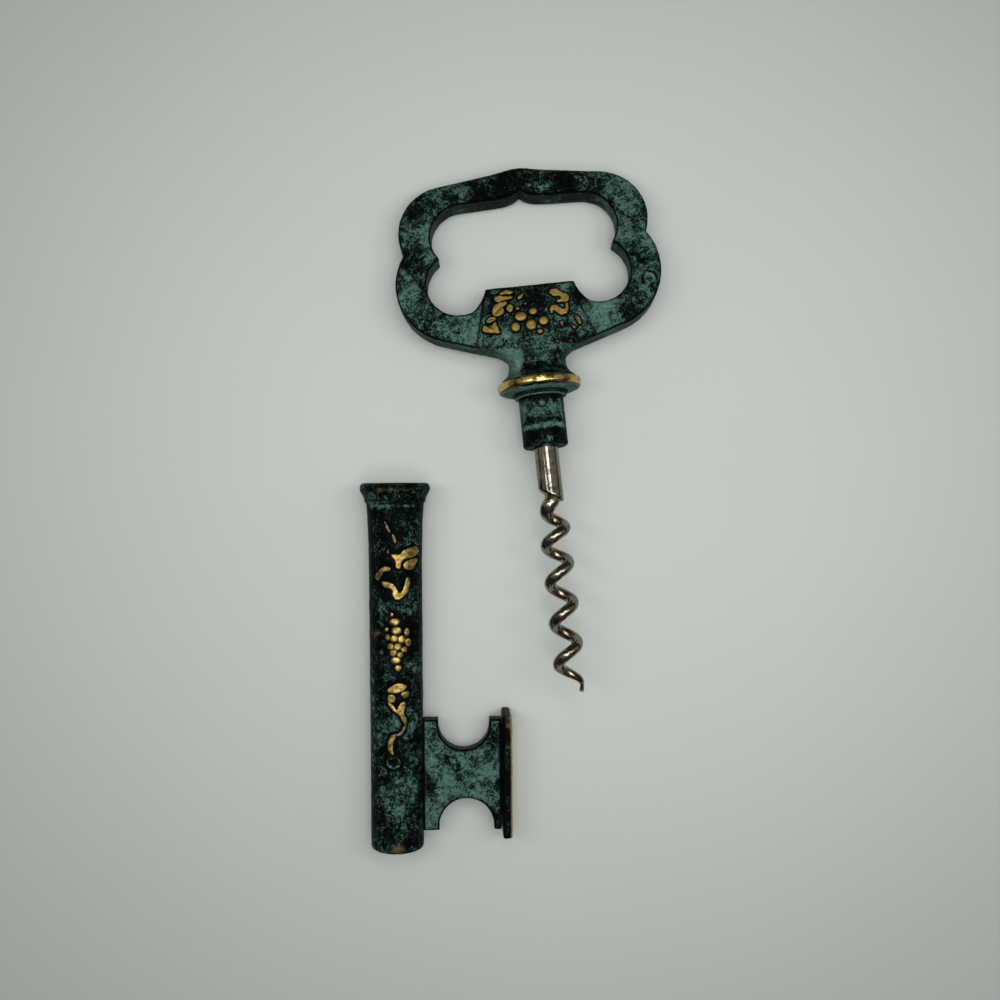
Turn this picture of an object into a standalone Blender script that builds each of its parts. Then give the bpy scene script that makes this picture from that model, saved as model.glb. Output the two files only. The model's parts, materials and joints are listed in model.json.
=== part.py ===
"""Key-shaped corkscrew and cap lifter, lying open on a table.

A cast handle carries a spigot with a helical worm. A tube with a key bit on its side is the
sheath that slides over the worm. Both are modelled upright, with their own axis along +Z and
their front facing -Y, and two empties lay them down side by side. Units are metres.
"""

import math

import bmesh
import bpy
from mathutils import Matrix, Vector

MM = 0.001

# Clearances
SEAM = 0.3 * MM             # between pieces that touch
RUNNING_FIT = 0.25 * MM     # radial play of the spigot in the sheath

# Bow, measured from the underside of the flange; its outline grows with its height
BOW_HEIGHT = 62.46 * MM     # where the two roof lines would meet
BOW_THICK = 9.2 * MM
BOW_EDGE = 0.9 * MM         # chamfer round both faces
ROOF_SLOPE = 0.135
ROOF_CROWN = 0.5 * MM       # ogee at the ridge
RIDGE_WIDTH = 0.08 * BOW_HEIGHT
UPPER_LOBE = (0.3394 * BOW_HEIGHT, 0.7365 * BOW_HEIGHT)
LOWER_LOBE = (0.325 * BOW_HEIGHT, 0.5027 * BOW_HEIGHT)
LOWER_LOBE_RADIUS = 0.2634 * BOW_HEIGHT
UPPER_HOLE = (0.2682 * BOW_HEIGHT, 0.7141 * BOW_HEIGHT)
UPPER_HOLE_RADIUS = 0.1465 * BOW_HEIGHT
LOWER_HOLE = (0.309 * BOW_HEIGHT, 0.5027 * BOW_HEIGHT)
LOWER_HOLE_RADIUS = 0.1433 * BOW_HEIGHT
HOLE_TOP = 0.8654 * BOW_HEIGHT
HOLE_NOTCH = 2.4 * MM       # the small peak in the middle of the opening's top
NOTCH_WIDTH = 2.2 * MM
SHOULDER_SLOPE = 18.0       # degrees, the lower edge from the lobe in to the neck

# Tongue of the cap lifter and its raised shield
TONGUE_TOP = 0.4595 * BOW_HEIGHT
TONGUE_HALF_WIDTH = 0.1969 * BOW_HEIGHT
SHIELD_FOOT_HALF_WIDTH = 0.2562 * BOW_HEIGHT
SHIELD_RAISE = 0.6 * MM     # above each face of the bow
SHIELD_EDGE = 0.3 * MM

# Neck and flange
NECK_HALF_WIDTH = 7.9 * MM
NECK_HALF_DEPTH = 7.0 * MM
NECK_HEIGHT = 7.0 * MM      # the waist, above the flange's underside
NECK_FILLET = 4.1 * MM
FLANGE_RADIUS = 11.5 * MM
RIM_HEIGHT = 2.5 * MM
FLANGE_DISH = 0.8 * MM      # the underside is a shallow cone
RIM_BULGE = 0.35 * MM       # the rim's edge is convex
RIM_SLOPE = 2.2 * MM        # the bevel from the rim up to the neck
BOSS_STEP = 1.05 * MM       # wider than the spigot
BOSS_HEIGHT = 1.2 * MM
SHOULDER = -FLANGE_DISH - BOSS_HEIGHT       # the boss's face, where the spigot starts

# Spigot, cross pin and worm
SPIGOT_RADIUS = 6.15 * MM
SPIGOT_LENGTH = 13.7 * MM
SPIGOT_EDGE = 0.4 * MM
TENON_WALL = 1.35 * MM      # round the worm's shank
TENON_LENGTH = 6.0 * MM     # up into the flange
SHANK_RADIUS = 3.35 * MM
SHANK_LENGTH = 15.0 * MM    # below the spigot
SHANK_RISE = 2.0 * MM       # past the spigot's shoulder, inside the tenon
SHANK_TAPER = 2.2 * MM      # at its lower end
PIN_RADIUS = 1.1 * MM
PIN_DROP = 2.2 * MM         # the pin's axis below the spigot's shoulder
PIN_INSET = 0.2 * MM        # of its ends below the spigot's skin
WIRE_RADIUS = 1.55 * MM
WORM_RADIUS = 4.4 * MM      # outside of the coil
WORM_PITCH = 10.8 * MM
WORM_COIL = 51.5 * MM       # length of the coil below the shank
WORM_OVERLAP = 2.0 * MM     # the coil starts this far up inside the shank
WORM_SWING = 6.0 * MM       # length over which the coil reaches its full radius
WORM_RUN_OUT = 5.0 * MM     # length over which the point stops turning
WORM_POINT = 9.0 * MM       # length over which the wire tapers
WORM_TIP = 0.12             # of the wire's radius, at the point
WORM_PHASE = -90.0          # degrees round the axis, where the coil starts

# Sheath, measured down from its mouth
SHEATH_LENGTH = 101.4 * MM
SHEATH_WALL = 0.9 * MM
SHEATH_FLARE = 0.65 * MM    # wider under the collar
FLARE_LENGTH = 7.0 * MM
SHEATH_EDGE = 0.8 * MM
MOUTH_CHAMFER = 0.4 * MM
BORE_RADIUS = SPIGOT_RADIUS + RUNNING_FIT
SHEATH_RADIUS = BORE_RADIUS + SHEATH_WALL
PLUG_LENGTH = 6.0 * MM
PLUG_EDGE = 0.3 * MM
COLLAR_RADIUS = SHEATH_RADIUS + 2.4 * MM
COLLAR_HEIGHT = 5.6 * MM
COLLAR_BEAD = 1.5 * MM      # the widest ring, below the mouth

# Key bit
BIT_THICK = 5.0 * MM
BIT_EDGE = 0.4 * MM
BIT_ROOT = 2.0 * MM         # how far it reaches in past the tube's skin before it is cut back
BIT_TOP = 65.5 * MM         # below the mouth
BIT_HEIGHT = 30.8 * MM
BIT_REACH = 29.2 * MM       # from the sheath's axis to the back of the face plate
UPPER_BITE = (0.637 * BIT_REACH, 0.243 * BIT_REACH, 1.4 * MM)   # place across, radius, straight depth
LOWER_BITE = (0.661 * BIT_REACH, 0.26 * BIT_REACH, 1.2 * MM)
PLATE_THICK = 2.8 * MM
PLATE_OVERHANG = 1.7 * MM   # past the bit at each end
PLATE_DEPTH = 12.5 * MM
PLATE_EDGE = 0.7 * MM

# Where the two halves lie on the table
HANDLE_AT = (8.1 * MM, 32.2 * MM)       # the flange's underside, on its axis
HANDLE_LEAN = 5.8                       # degrees
SHEATH_AT = (-32.0 * MM, 6.9 * MM)      # the mouth, on its axis
SHEATH_LEAN = 0.35                      # degrees

ARC_STEPS = 12
TURN_STEPS = 48


# --- Scene and small helpers -------------------------------------------------------------

def clear_scene():
    for old in list(bpy.data.objects):
        bpy.data.objects.remove(old, do_unlink=True)


def make_collection(name):
    collection = bpy.data.collections.new(name)
    bpy.context.scene.collection.children.link(collection)
    return collection


def make_material(name, colour, roughness, metallic):
    material = bpy.data.materials.new(name)
    material.use_nodes = True
    shader = material.node_tree.nodes["Principled BSDF"]
    shader.inputs["Base Color"].default_value = (*colour, 1.0)
    shader.inputs["Roughness"].default_value = roughness
    shader.inputs["Metallic"].default_value = metallic
    material.diffuse_color = (*colour, 1.0)
    return material


def make_empty(name, collection, matrix):
    empty = bpy.data.objects.new(name, None)
    empty.empty_display_size = 0.01
    collection.objects.link(empty)
    empty.matrix_world = matrix
    return empty


def make_object(name, data, collection, parent=None, material=None):
    piece = bpy.data.objects.new(name, data)
    collection.objects.link(piece)
    piece.parent = parent
    if material:
        data.materials.append(material)
    return piece


def smooth(piece, angle=35.0):
    piece.data.shade_smooth()
    piece.data.set_sharp_from_angle(angle=math.radians(angle))


def as_mesh(piece, collection):
    """Turn a curve object into a welded mesh object at the same place."""
    bpy.context.view_layer.update()
    graph = bpy.context.evaluated_depsgraph_get()
    mesh = bpy.data.meshes.new_from_object(piece.evaluated_get(graph))
    work = bmesh.new()
    work.from_mesh(mesh)
    bmesh.ops.remove_doubles(work, verts=work.verts, dist=0.000005)
    bmesh.ops.recalc_face_normals(work, faces=work.faces)
    work.to_mesh(mesh)
    work.free()
    name = piece.name
    place = piece.matrix_world.copy()
    curve = piece.data
    bpy.data.objects.remove(piece, do_unlink=True)
    bpy.data.curves.remove(curve)
    solid = make_object(name, mesh, collection)
    solid.matrix_world = place
    return solid


def turned(name, profile, collection, parent=None, material=None):
    """A solid of revolution about Z; the profile of (radius, z) runs down its outer side."""
    mesh = bpy.data.meshes.new(name)
    edges = [(i, i + 1) for i in range(len(profile) - 1)]
    if profile[0][0] > 0.0:
        edges.append((len(profile) - 1, 0))
    mesh.from_pydata([(radius, 0.0, z) for radius, z in profile], edges, [])
    piece = make_object(name, mesh, collection, parent, material)
    screw = piece.modifiers.new("turn", "SCREW")
    screw.axis = "Z"
    screw.angle = math.tau
    screw.steps = TURN_STEPS
    screw.render_steps = TURN_STEPS
    screw.use_merge_vertices = True
    screw.merge_threshold = 0.00001
    screw.use_smooth_shade = True
    return piece


def cut_from(piece, tool, name, operation="DIFFERENCE"):
    modifier = piece.modifiers.new(name, "BOOLEAN")
    modifier.operation = operation
    modifier.solver = "EXACT"
    modifier.object = tool
    tool.hide_render = True
    tool.display_type = "WIRE"


def rod(name, radius, length, collection, steps=32):
    """A plain cylinder along Z, centred on its origin."""
    mesh = bpy.data.meshes.new(name)
    work = bmesh.new()
    bmesh.ops.create_cone(work, cap_ends=True, segments=steps, radius1=radius, radius2=radius, depth=length)
    work.to_mesh(mesh)
    work.free()
    return make_object(name, mesh, collection)


def drilled(name, radius, top, bottom, collection):
    """The cutter for a round hole along Z between two heights."""
    tool = rod(name, radius, top - bottom, collection)
    tool.location.z = (top + bottom) / 2
    return tool


# --- Outlines ----------------------------------------------------------------------------

def arc(centre, radius, start, end, steps=ARC_STEPS):
    """Points along a circle from one angle to the other, in degrees."""
    points = []
    for i in range(steps + 1):
        angle = math.radians(start + (end - start) * i / steps)
        points.append((centre[0] + radius * math.cos(angle), centre[1] + radius * math.sin(angle)))
    return points


def bend(start, control, end, steps):
    """A quadratic curve between two points, both left out."""
    points = []
    for i in range(1, steps):
        t = i / steps
        points.append(tuple((1 - t) ** 2 * a + 2 * t * (1 - t) * b + t * t * c
                            for a, b, c in zip(start, control, end)))
    return points


def crossing(upper, radius_a, lower, radius_b):
    """Where two circles meet, on the side away from the handle's axis."""
    a = Vector(upper)
    b = Vector(lower)
    gap = (b - a).length
    along = (gap ** 2 + radius_a ** 2 - radius_b ** 2) / (2 * gap)
    across = math.sqrt(radius_a ** 2 - along ** 2)
    direction = (b - a) / gap
    return a + direction * along + Vector((-direction.y, direction.x)) * across


def angle_from(centre, point):
    return math.degrees(math.atan2(point[1] - centre[1], point[0] - centre[0]))


def roof(x):
    ridge = math.hypot(x, RIDGE_WIDTH / 2)
    return BOW_HEIGHT - ROOF_SLOPE * ridge + ROOF_CROWN * math.exp(-(x / RIDGE_WIDTH) ** 2)


def mirrored(half):
    """Close a right-hand outline, drawn from top to bottom, with its mirror image."""
    left = [(-x, y) for x, y in reversed(half) if x > 0.00001]
    return list(half) + left


def fillet_centre():
    """Centre of the fillet between the bow's lower edge, which slopes in from the lobe, and the neck."""
    slope = math.radians(SHOULDER_SLOPE)
    normal = Vector((math.sin(slope), -math.cos(slope)))
    start = Vector(LOWER_LOBE) + normal * LOWER_LOBE_RADIUS
    centre_x = NECK_HALF_WIDTH + NECK_FILLET
    run = (start.x - (centre_x - normal.x * NECK_FILLET)) / math.cos(slope)
    end = start - Vector((math.cos(slope), math.sin(slope))) * run
    return end + normal * NECK_FILLET


def bow_outline():
    slope = math.atan(ROOF_SLOPE)
    radius = (BOW_HEIGHT - ROOF_SLOPE * UPPER_LOBE[0] - UPPER_LOBE[1]) * math.cos(slope)
    notch = crossing(UPPER_LOBE, radius, LOWER_LOBE, LOWER_LOBE_RADIUS)
    steps = (0.0, 0.02, 0.04, 0.065, 0.09, 0.12, 0.16, 0.22, 0.29)
    half = [(x * BOW_HEIGHT, roof(x * BOW_HEIGHT)) for x in steps]
    half += arc(UPPER_LOBE, radius, 90 - math.degrees(slope), angle_from(UPPER_LOBE, notch))
    half += arc(LOWER_LOBE, LOWER_LOBE_RADIUS, angle_from(LOWER_LOBE, notch), SHOULDER_SLOPE - 90)[1:]
    half += arc(fillet_centre(), NECK_FILLET, 90 + SHOULDER_SLOPE, 150, 6)
    return mirrored(half)


def bow_opening():
    cusp = crossing(UPPER_HOLE, UPPER_HOLE_RADIUS, LOWER_HOLE, LOWER_HOLE_RADIUS)
    half = []
    for x in (0.0, 0.3, 0.7, 1.1, 1.7, 2.5, 3.6):
        half.append((x * NOTCH_WIDTH, HOLE_TOP + HOLE_NOTCH * math.exp(-x)))
    half += arc(UPPER_HOLE, UPPER_HOLE_RADIUS, 88, angle_from(UPPER_HOLE, cusp))
    half += arc(LOWER_HOLE, LOWER_HOLE_RADIUS, angle_from(LOWER_HOLE, cusp), -108)[1:]
    corner = (TONGUE_HALF_WIDTH, TONGUE_TOP)
    start = Vector(half[-1])
    gap = (start - Vector(corner)).length
    half += bend(start, start + Vector((-0.35, 0.2)) * gap, corner, 5)
    half.append(corner)
    return mirrored(half)


def shield_outline():
    foot = LOWER_LOBE[1] - LOWER_LOBE_RADIUS
    half = [(TONGUE_HALF_WIDTH, TONGUE_TOP)]
    half.append((SHIELD_FOOT_HALF_WIDTH, foot - 0.1 * LOWER_LOBE_RADIUS))
    half += arc(fillet_centre(), NECK_FILLET + SHIELD_EDGE, 95, 140, 4)
    return mirrored(half)


def flat_piece(name, loops, thickness, edge, collection):
    """A flat outline with holes, standing in the XZ plane, with a chamfer round both faces."""
    curve = bpy.data.curves.new(name, "CURVE")
    curve.dimensions = "2D"
    curve.fill_mode = "BOTH"
    curve.extrude = thickness / 2 - edge
    curve.bevel_depth = edge
    curve.bevel_resolution = 0
    curve.offset = -edge
    for loop in loops:
        spline = curve.splines.new("POLY")
        spline.points.add(len(loop) - 1)
        for point, (x, z) in zip(spline.points, loop):
            point.co = (x, z, 0.0, 1.0)
        spline.use_cyclic_u = True
    piece = make_object(name, curve, collection)
    piece.rotation_euler.x = math.radians(90)
    return as_mesh(piece, collection)


# --- Handle ------------------------------------------------------------------------------

def neck_mesh(name):
    """A loft from the round flange to the flat bow, as superelliptic rings."""
    top = TONGUE_TOP / 2
    full_depth = BOW_THICK / 2 + SHIELD_RAISE - 0.25 * MM
    stations = []
    for i in range(5):
        height = RIM_HEIGHT + (NECK_HEIGHT - RIM_HEIGHT) * i / 5
        fall = min(NECK_HEIGHT - height, NECK_FILLET * 0.97)
        flare = NECK_FILLET - math.sqrt(NECK_FILLET ** 2 - fall ** 2)
        stations.append((height, NECK_HALF_WIDTH + flare, NECK_HALF_DEPTH + flare, 2.0))
    for i in range(6):
        t = i / 5
        ease = t * t * (3 - 2 * t)
        height = NECK_HEIGHT + (top - NECK_HEIGHT) * t
        depth = NECK_HALF_DEPTH + (full_depth - NECK_HALF_DEPTH) * ease
        stations.append((height, NECK_HALF_WIDTH - 0.1 * MM * t, depth, 2.0 + 1.2 * ease))
    work = bmesh.new()
    rings = []
    for height, half_width, half_depth, power in stations:
        ring = []
        for i in range(TURN_STEPS):
            angle = math.tau * i / TURN_STEPS
            c = math.cos(angle)
            s = math.sin(angle)
            x = math.copysign(abs(c) ** (2 / power), c) * half_width
            y = math.copysign(abs(s) ** (2 / power), s) * half_depth
            ring.append(work.verts.new((x, y, height)))
        rings.append(ring)
    for low, high in zip(rings, rings[1:]):
        for i in range(TURN_STEPS):
            j = (i + 1) % TURN_STEPS
            work.faces.new((low[i], low[j], high[j], high[i]))
    work.faces.new(list(reversed(rings[0])))
    work.faces.new(rings[-1])
    mesh = bpy.data.meshes.new(name)
    work.to_mesh(mesh)
    work.free()
    return mesh


def flange_profile():
    """Convex rim, shallow cone underneath, and the boss round the spigot."""
    top = RIM_HEIGHT + RIM_SLOPE / 4
    return [
        (0.0, top),
        (FLANGE_RADIUS - RIM_SLOPE, top),
        (FLANGE_RADIUS - RIM_BULGE, RIM_HEIGHT),
        (FLANGE_RADIUS, RIM_HEIGHT * 0.65),
        (FLANGE_RADIUS, RIM_HEIGHT * 0.35),
        (FLANGE_RADIUS - RIM_BULGE, 0.0),
        (SPIGOT_RADIUS + BOSS_STEP, -FLANGE_DISH),
        (SPIGOT_RADIUS + BOSS_STEP, SHOULDER),
        (0.0, SHOULDER),
    ]


def build_handle(frame, parts, cutters, bronze, steel):
    bow = flat_piece("bow_handle", [bow_outline(), bow_opening()], BOW_THICK, BOW_EDGE, parts)
    bow.data.materials.append(bronze)
    shield_thick = BOW_THICK + 2 * SHIELD_RAISE
    shield = flat_piece("shield", [shield_outline()], shield_thick, SHIELD_EDGE, cutters)
    neck = make_object("neck", neck_mesh("neck"), cutters)
    flange = turned("flange", flange_profile(), cutters)
    tenon_radius = SHANK_RADIUS + SEAM + TENON_WALL
    socket = drilled("spigot_socket", tenon_radius + SEAM, TENON_LENGTH + SEAM, SHOULDER - MM, cutters)
    for tool in (shield, neck, flange):
        cut_from(bow, tool, tool.name, "UNION")
    cut_from(bow, socket, "socket")

    top = SHOULDER - SEAM
    bottom = SHOULDER - SPIGOT_LENGTH
    spigot = turned("spigot", [
        (0.0, TENON_LENGTH),
        (tenon_radius, TENON_LENGTH),
        (tenon_radius, top),
        (SPIGOT_RADIUS, top),
        (SPIGOT_RADIUS, bottom + SPIGOT_EDGE),
        (SPIGOT_RADIUS - SPIGOT_EDGE, bottom),
        (0.0, bottom),
    ], parts, material=bronze)

    shank_top = SHOULDER + SHANK_RISE
    bore = drilled("shank_bore", SHANK_RADIUS + SEAM, shank_top + SEAM, bottom - MM, cutters)
    cut_from(spigot, bore, "shank_bore")
    pin_bore = rod("pin_bore", PIN_RADIUS + SEAM, 4 * SPIGOT_RADIUS, cutters, 20)
    pin_bore.rotation_euler.x = math.radians(90)
    pin_bore.location.z = SHOULDER - PIN_DROP
    cut_from(spigot, pin_bore, "pin_bore")

    pin = rod("worm_pin", PIN_RADIUS, 2 * (SPIGOT_RADIUS - PIN_INSET), parts, 20)
    pin.data.materials.append(steel)
    pin.rotation_euler.x = math.radians(90)
    pin.location.z = SHOULDER - PIN_DROP

    shank_end = bottom - SHANK_LENGTH
    worm = turned("worm", [
        (0.0, shank_top),
        (SHANK_RADIUS, shank_top),
        (SHANK_RADIUS, shank_end + SHANK_TAPER),
        (WIRE_RADIUS, shank_end),
        (0.0, shank_end),
    ], parts, material=steel)
    coil = build_coil(shank_end + WORM_OVERLAP, cutters)
    cut_from(worm, coil, "coil", "UNION")
    cut_from(worm, pin_bore, "pin_bore")

    for piece in (bow, shield, neck, flange, socket, spigot, bore, pin_bore, pin, worm, coil):
        keep = piece.matrix_basis.copy()
        piece.parent = frame
        piece.matrix_basis = keep
    for piece in (bow, pin):
        smooth(piece)


def build_coil(start, collection):
    """The right-handed coil, which swings out from the shank's axis and tapers to a point."""
    steps_per_turn = 14
    length = WORM_COIL + WORM_OVERLAP
    count = int(steps_per_turn * length / WORM_PITCH)
    coil_radius = WORM_RADIUS - WIRE_RADIUS
    curve = bpy.data.curves.new("coil", "CURVE")
    curve.dimensions = "3D"
    curve.bevel_depth = WIRE_RADIUS
    curve.bevel_resolution = 2
    curve.use_fill_caps = True
    spline = curve.splines.new("POLY")
    spline.points.add(count)
    for i, point in enumerate(spline.points):
        drop = length * i / count
        reach = coil_radius * math.sin(min(1.0, drop / WORM_SWING) * math.pi / 2)
        past = max(0.0, drop - (length - WORM_RUN_OUT))
        turning = drop - past * past / (2 * WORM_RUN_OUT)
        angle = math.radians(WORM_PHASE) - math.tau * turning / WORM_PITCH
        point.co = (reach * math.cos(angle), reach * math.sin(angle), start - drop, 1.0)
        left = length - drop
        point.radius = max(WORM_TIP, min(1.0, left / WORM_POINT))
    return as_mesh(make_object("coil", curve, collection), collection)


# --- Sheath ------------------------------------------------------------------------------

def sheath_radius(depth):
    """Outer radius of the tube at a depth below the mouth."""
    below_collar = max(0.0, depth - COLLAR_HEIGHT)
    return SHEATH_RADIUS + SHEATH_FLARE * math.exp(-below_collar / FLARE_LENGTH)


def build_sheath(turning, parts, cutters, bronze, brass):
    flare = [(sheath_radius(0.0), 0.0)]
    for i in range(7):
        depth = COLLAR_HEIGHT + FLARE_LENGTH * 3 * i / 6
        flare.append((sheath_radius(depth), -depth))
    turned("sheath_tube", [(BORE_RADIUS + MOUTH_CHAMFER, 0.0)] + flare + [
        (SHEATH_RADIUS, -SHEATH_LENGTH + SHEATH_EDGE),
        (SHEATH_RADIUS - SHEATH_EDGE * 0.3, -SHEATH_LENGTH + SHEATH_EDGE * 0.3),
        (SHEATH_RADIUS - SHEATH_EDGE, -SHEATH_LENGTH),
        (BORE_RADIUS, -SHEATH_LENGTH),
        (BORE_RADIUS, -MOUTH_CHAMFER),
    ], parts, turning, bronze)

    plug_radius = BORE_RADIUS - SEAM
    plug_top = PLUG_LENGTH - SHEATH_LENGTH
    turned("sheath_end_plug", [
        (0.0, plug_top),
        (plug_radius, plug_top),
        (plug_radius, -SHEATH_LENGTH + PLUG_EDGE),
        (plug_radius - PLUG_EDGE, -SHEATH_LENGTH),
        (0.0, -SHEATH_LENGTH),
    ], parts, turning, bronze)

    bit = build_bit(cutters, parts, bronze)
    plate = build_plate(parts, brass)
    for piece in (bit, plate):
        keep = piece.matrix_basis.copy()
        piece.parent = turning
        piece.matrix_basis = keep


def build_collar(sliding, parts, bronze):
    inner = sheath_radius(0.0) + SEAM
    turned("sheath_collar", [
        (inner, 0.0),
        (COLLAR_RADIUS - 0.9 * MM, 0.0),
        (COLLAR_RADIUS - 0.25 * MM, -COLLAR_BEAD * 0.4),
        (COLLAR_RADIUS, -COLLAR_BEAD),
        (COLLAR_RADIUS - 0.2 * MM, -COLLAR_BEAD * 1.7),
        (inner + 0.4 * MM, -COLLAR_HEIGHT + 0.4 * MM),
        (inner + 0.2 * MM, -COLLAR_HEIGHT),
        (inner, -COLLAR_HEIGHT),
    ], parts, sliding, bronze)


def build_bit(cutters, parts, bronze):
    """The flat web of the bit, with a round bite out of its top and its bottom."""
    top = -BIT_TOP
    bottom = -BIT_TOP - BIT_HEIGHT
    outer = BIT_REACH - SEAM
    root = SHEATH_RADIUS - BIT_ROOT
    loop = [(root, top)]
    across, radius, straight = UPPER_BITE
    loop.append((across - radius, top))
    loop += arc((across, top - straight), radius, 180, 360, 16)
    loop.append((across + radius, top))
    loop += [(outer, top), (outer, bottom)]
    across, radius, straight = LOWER_BITE
    loop.append((across + radius, bottom))
    loop += arc((across, bottom + straight), radius, 0, 180, 16)
    loop.append((across - radius, bottom))
    loop.append((root, bottom))
    bit = flat_piece("key_bit", [loop], BIT_THICK, BIT_EDGE, parts)
    bit.data.materials.append(bronze)

    mesh = bpy.data.meshes.new("tube_clearance")
    work = bmesh.new()
    length = BIT_HEIGHT + 2 * BIT_THICK
    middle = BIT_TOP + BIT_HEIGHT / 2
    bmesh.ops.create_cone(work, cap_ends=True, segments=TURN_STEPS, depth=length,
                          radius1=sheath_radius(middle + length / 2) + SEAM,
                          radius2=sheath_radius(middle - length / 2) + SEAM)
    work.to_mesh(mesh)
    work.free()
    clearance = make_object("tube_clearance", mesh, cutters)
    clearance.location.z = -middle
    clearance.parent = bit
    clearance.matrix_parent_inverse = bit.matrix_world.inverted()
    cut_from(bit, clearance, "tube_clearance")
    smooth(bit)
    return bit


def build_plate(parts, brass):
    """The thick plate across the end of the bit."""
    mesh = bpy.data.meshes.new("bit_face_plate")
    work = bmesh.new()
    size = (PLATE_THICK, PLATE_DEPTH, BIT_HEIGHT + 2 * PLATE_OVERHANG)
    bmesh.ops.create_cube(work, size=1.0, matrix=Matrix.Diagonal((*size, 1.0)))
    work.to_mesh(mesh)
    work.free()
    plate = make_object("bit_face_plate", mesh, parts, material=brass)
    plate.location = (BIT_REACH + PLATE_THICK / 2, 0.0, -BIT_TOP - BIT_HEIGHT / 2)
    bevel = plate.modifiers.new("edge", "BEVEL")
    bevel.width = PLATE_EDGE
    bevel.segments = 2
    return plate


# --- Lying on the table ------------------------------------------------------------------

def handle_place():
    """Rests on the rim of its flange and on the back edge of the bow's ridge."""
    ridge = roof(0.0) - BOW_EDGE
    rim = RIM_HEIGHT / 2
    dip = math.atan2(FLANGE_RADIUS - BOW_THICK / 2, ridge - rim)
    height = FLANGE_RADIUS * math.cos(dip) + rim * math.sin(dip)
    turn = Matrix.Rotation(math.radians(HANDLE_LEAN), 4, "Z") @ Matrix.Rotation(-math.pi / 2 - dip, 4, "X")
    return Matrix.Translation((*HANDLE_AT, height)) @ turn


def sheath_places():
    """Rests on its collar, its closed end and the edge of the face plate."""
    run = SHEATH_LENGTH - SHEATH_EDGE - COLLAR_BEAD
    dip = math.atan2(COLLAR_RADIUS - SHEATH_RADIUS, run)
    height = COLLAR_RADIUS / math.cos(dip) + COLLAR_BEAD * math.sin(dip)
    plate_end = BIT_TOP + BIT_HEIGHT + PLATE_OVERHANG
    axis_height = height - plate_end * math.sin(dip)
    reach = BIT_REACH + PLATE_THICK - PLATE_EDGE
    radius = math.hypot(reach, PLATE_DEPTH / 2)
    droop = math.asin(axis_height / radius) - math.atan2(PLATE_DEPTH / 2, reach)
    lay = Matrix.Rotation(math.radians(SHEATH_LEAN), 4, "Z") @ Matrix.Rotation(-math.pi / 2 + dip, 4, "X")
    sliding = Matrix.Translation((*SHEATH_AT, height)) @ lay
    turning = sliding @ Matrix.Rotation(droop, 4, "Z")
    return sliding, turning


def main():
    clear_scene()
    parts = make_collection("key_corkscrew")
    cutters = make_collection("cutters")
    bronze = make_material("patinated_bronze", (0.05, 0.11, 0.095), 0.55, 0.6)
    brass = make_material("worn_brass", (0.52, 0.38, 0.16), 0.35, 1.0)
    steel = make_material("nickel_plated_steel", (0.62, 0.60, 0.57), 0.18, 1.0)

    handle_frame = make_empty("handle_frame", parts, handle_place())
    sliding, turning = sheath_places()
    slide_frame = make_empty("sheath_slide_axis", parts, sliding)
    turn_frame = make_empty("sheath_turn_axis", parts, turning)

    build_handle(handle_frame, parts, cutters, bronze, steel)
    build_collar(slide_frame, parts, bronze)
    build_sheath(turn_frame, parts, cutters, bronze, brass)


main()
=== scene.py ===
"""Visual model of the key corkscrew.

A cast, patinated handle and sheath with raised vines in brass, and a tarnished nickel worm.
"""

import json
import math

import bmesh
import bpy
import numpy as np
from mathutils import Matrix, Vector, noise
from mathutils.geometry import delaunay_2d_cdt
from mathutils.kdtree import KDTree


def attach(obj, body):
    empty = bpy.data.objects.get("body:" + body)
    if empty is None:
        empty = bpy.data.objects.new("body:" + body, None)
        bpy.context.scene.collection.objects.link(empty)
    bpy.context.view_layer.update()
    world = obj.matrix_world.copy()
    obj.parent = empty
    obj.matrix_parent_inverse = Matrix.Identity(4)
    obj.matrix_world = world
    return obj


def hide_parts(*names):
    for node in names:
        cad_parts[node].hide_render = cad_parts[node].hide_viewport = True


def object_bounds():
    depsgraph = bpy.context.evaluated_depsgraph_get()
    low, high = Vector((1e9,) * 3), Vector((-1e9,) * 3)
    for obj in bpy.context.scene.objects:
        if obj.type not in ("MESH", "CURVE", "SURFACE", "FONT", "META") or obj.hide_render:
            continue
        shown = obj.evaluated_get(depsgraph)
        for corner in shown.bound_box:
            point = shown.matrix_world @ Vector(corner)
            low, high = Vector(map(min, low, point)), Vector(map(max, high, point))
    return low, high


MM = 0.001

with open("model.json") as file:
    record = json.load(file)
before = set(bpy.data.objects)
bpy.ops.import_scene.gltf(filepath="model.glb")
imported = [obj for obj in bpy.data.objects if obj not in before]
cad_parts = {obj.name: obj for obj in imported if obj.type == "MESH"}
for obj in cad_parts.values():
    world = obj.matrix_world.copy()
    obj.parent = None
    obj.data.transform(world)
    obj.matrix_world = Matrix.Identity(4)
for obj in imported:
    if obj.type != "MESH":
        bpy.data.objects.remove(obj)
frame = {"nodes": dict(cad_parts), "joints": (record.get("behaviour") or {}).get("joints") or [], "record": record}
CAD_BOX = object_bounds()
RECORD = frame["record"]

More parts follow.
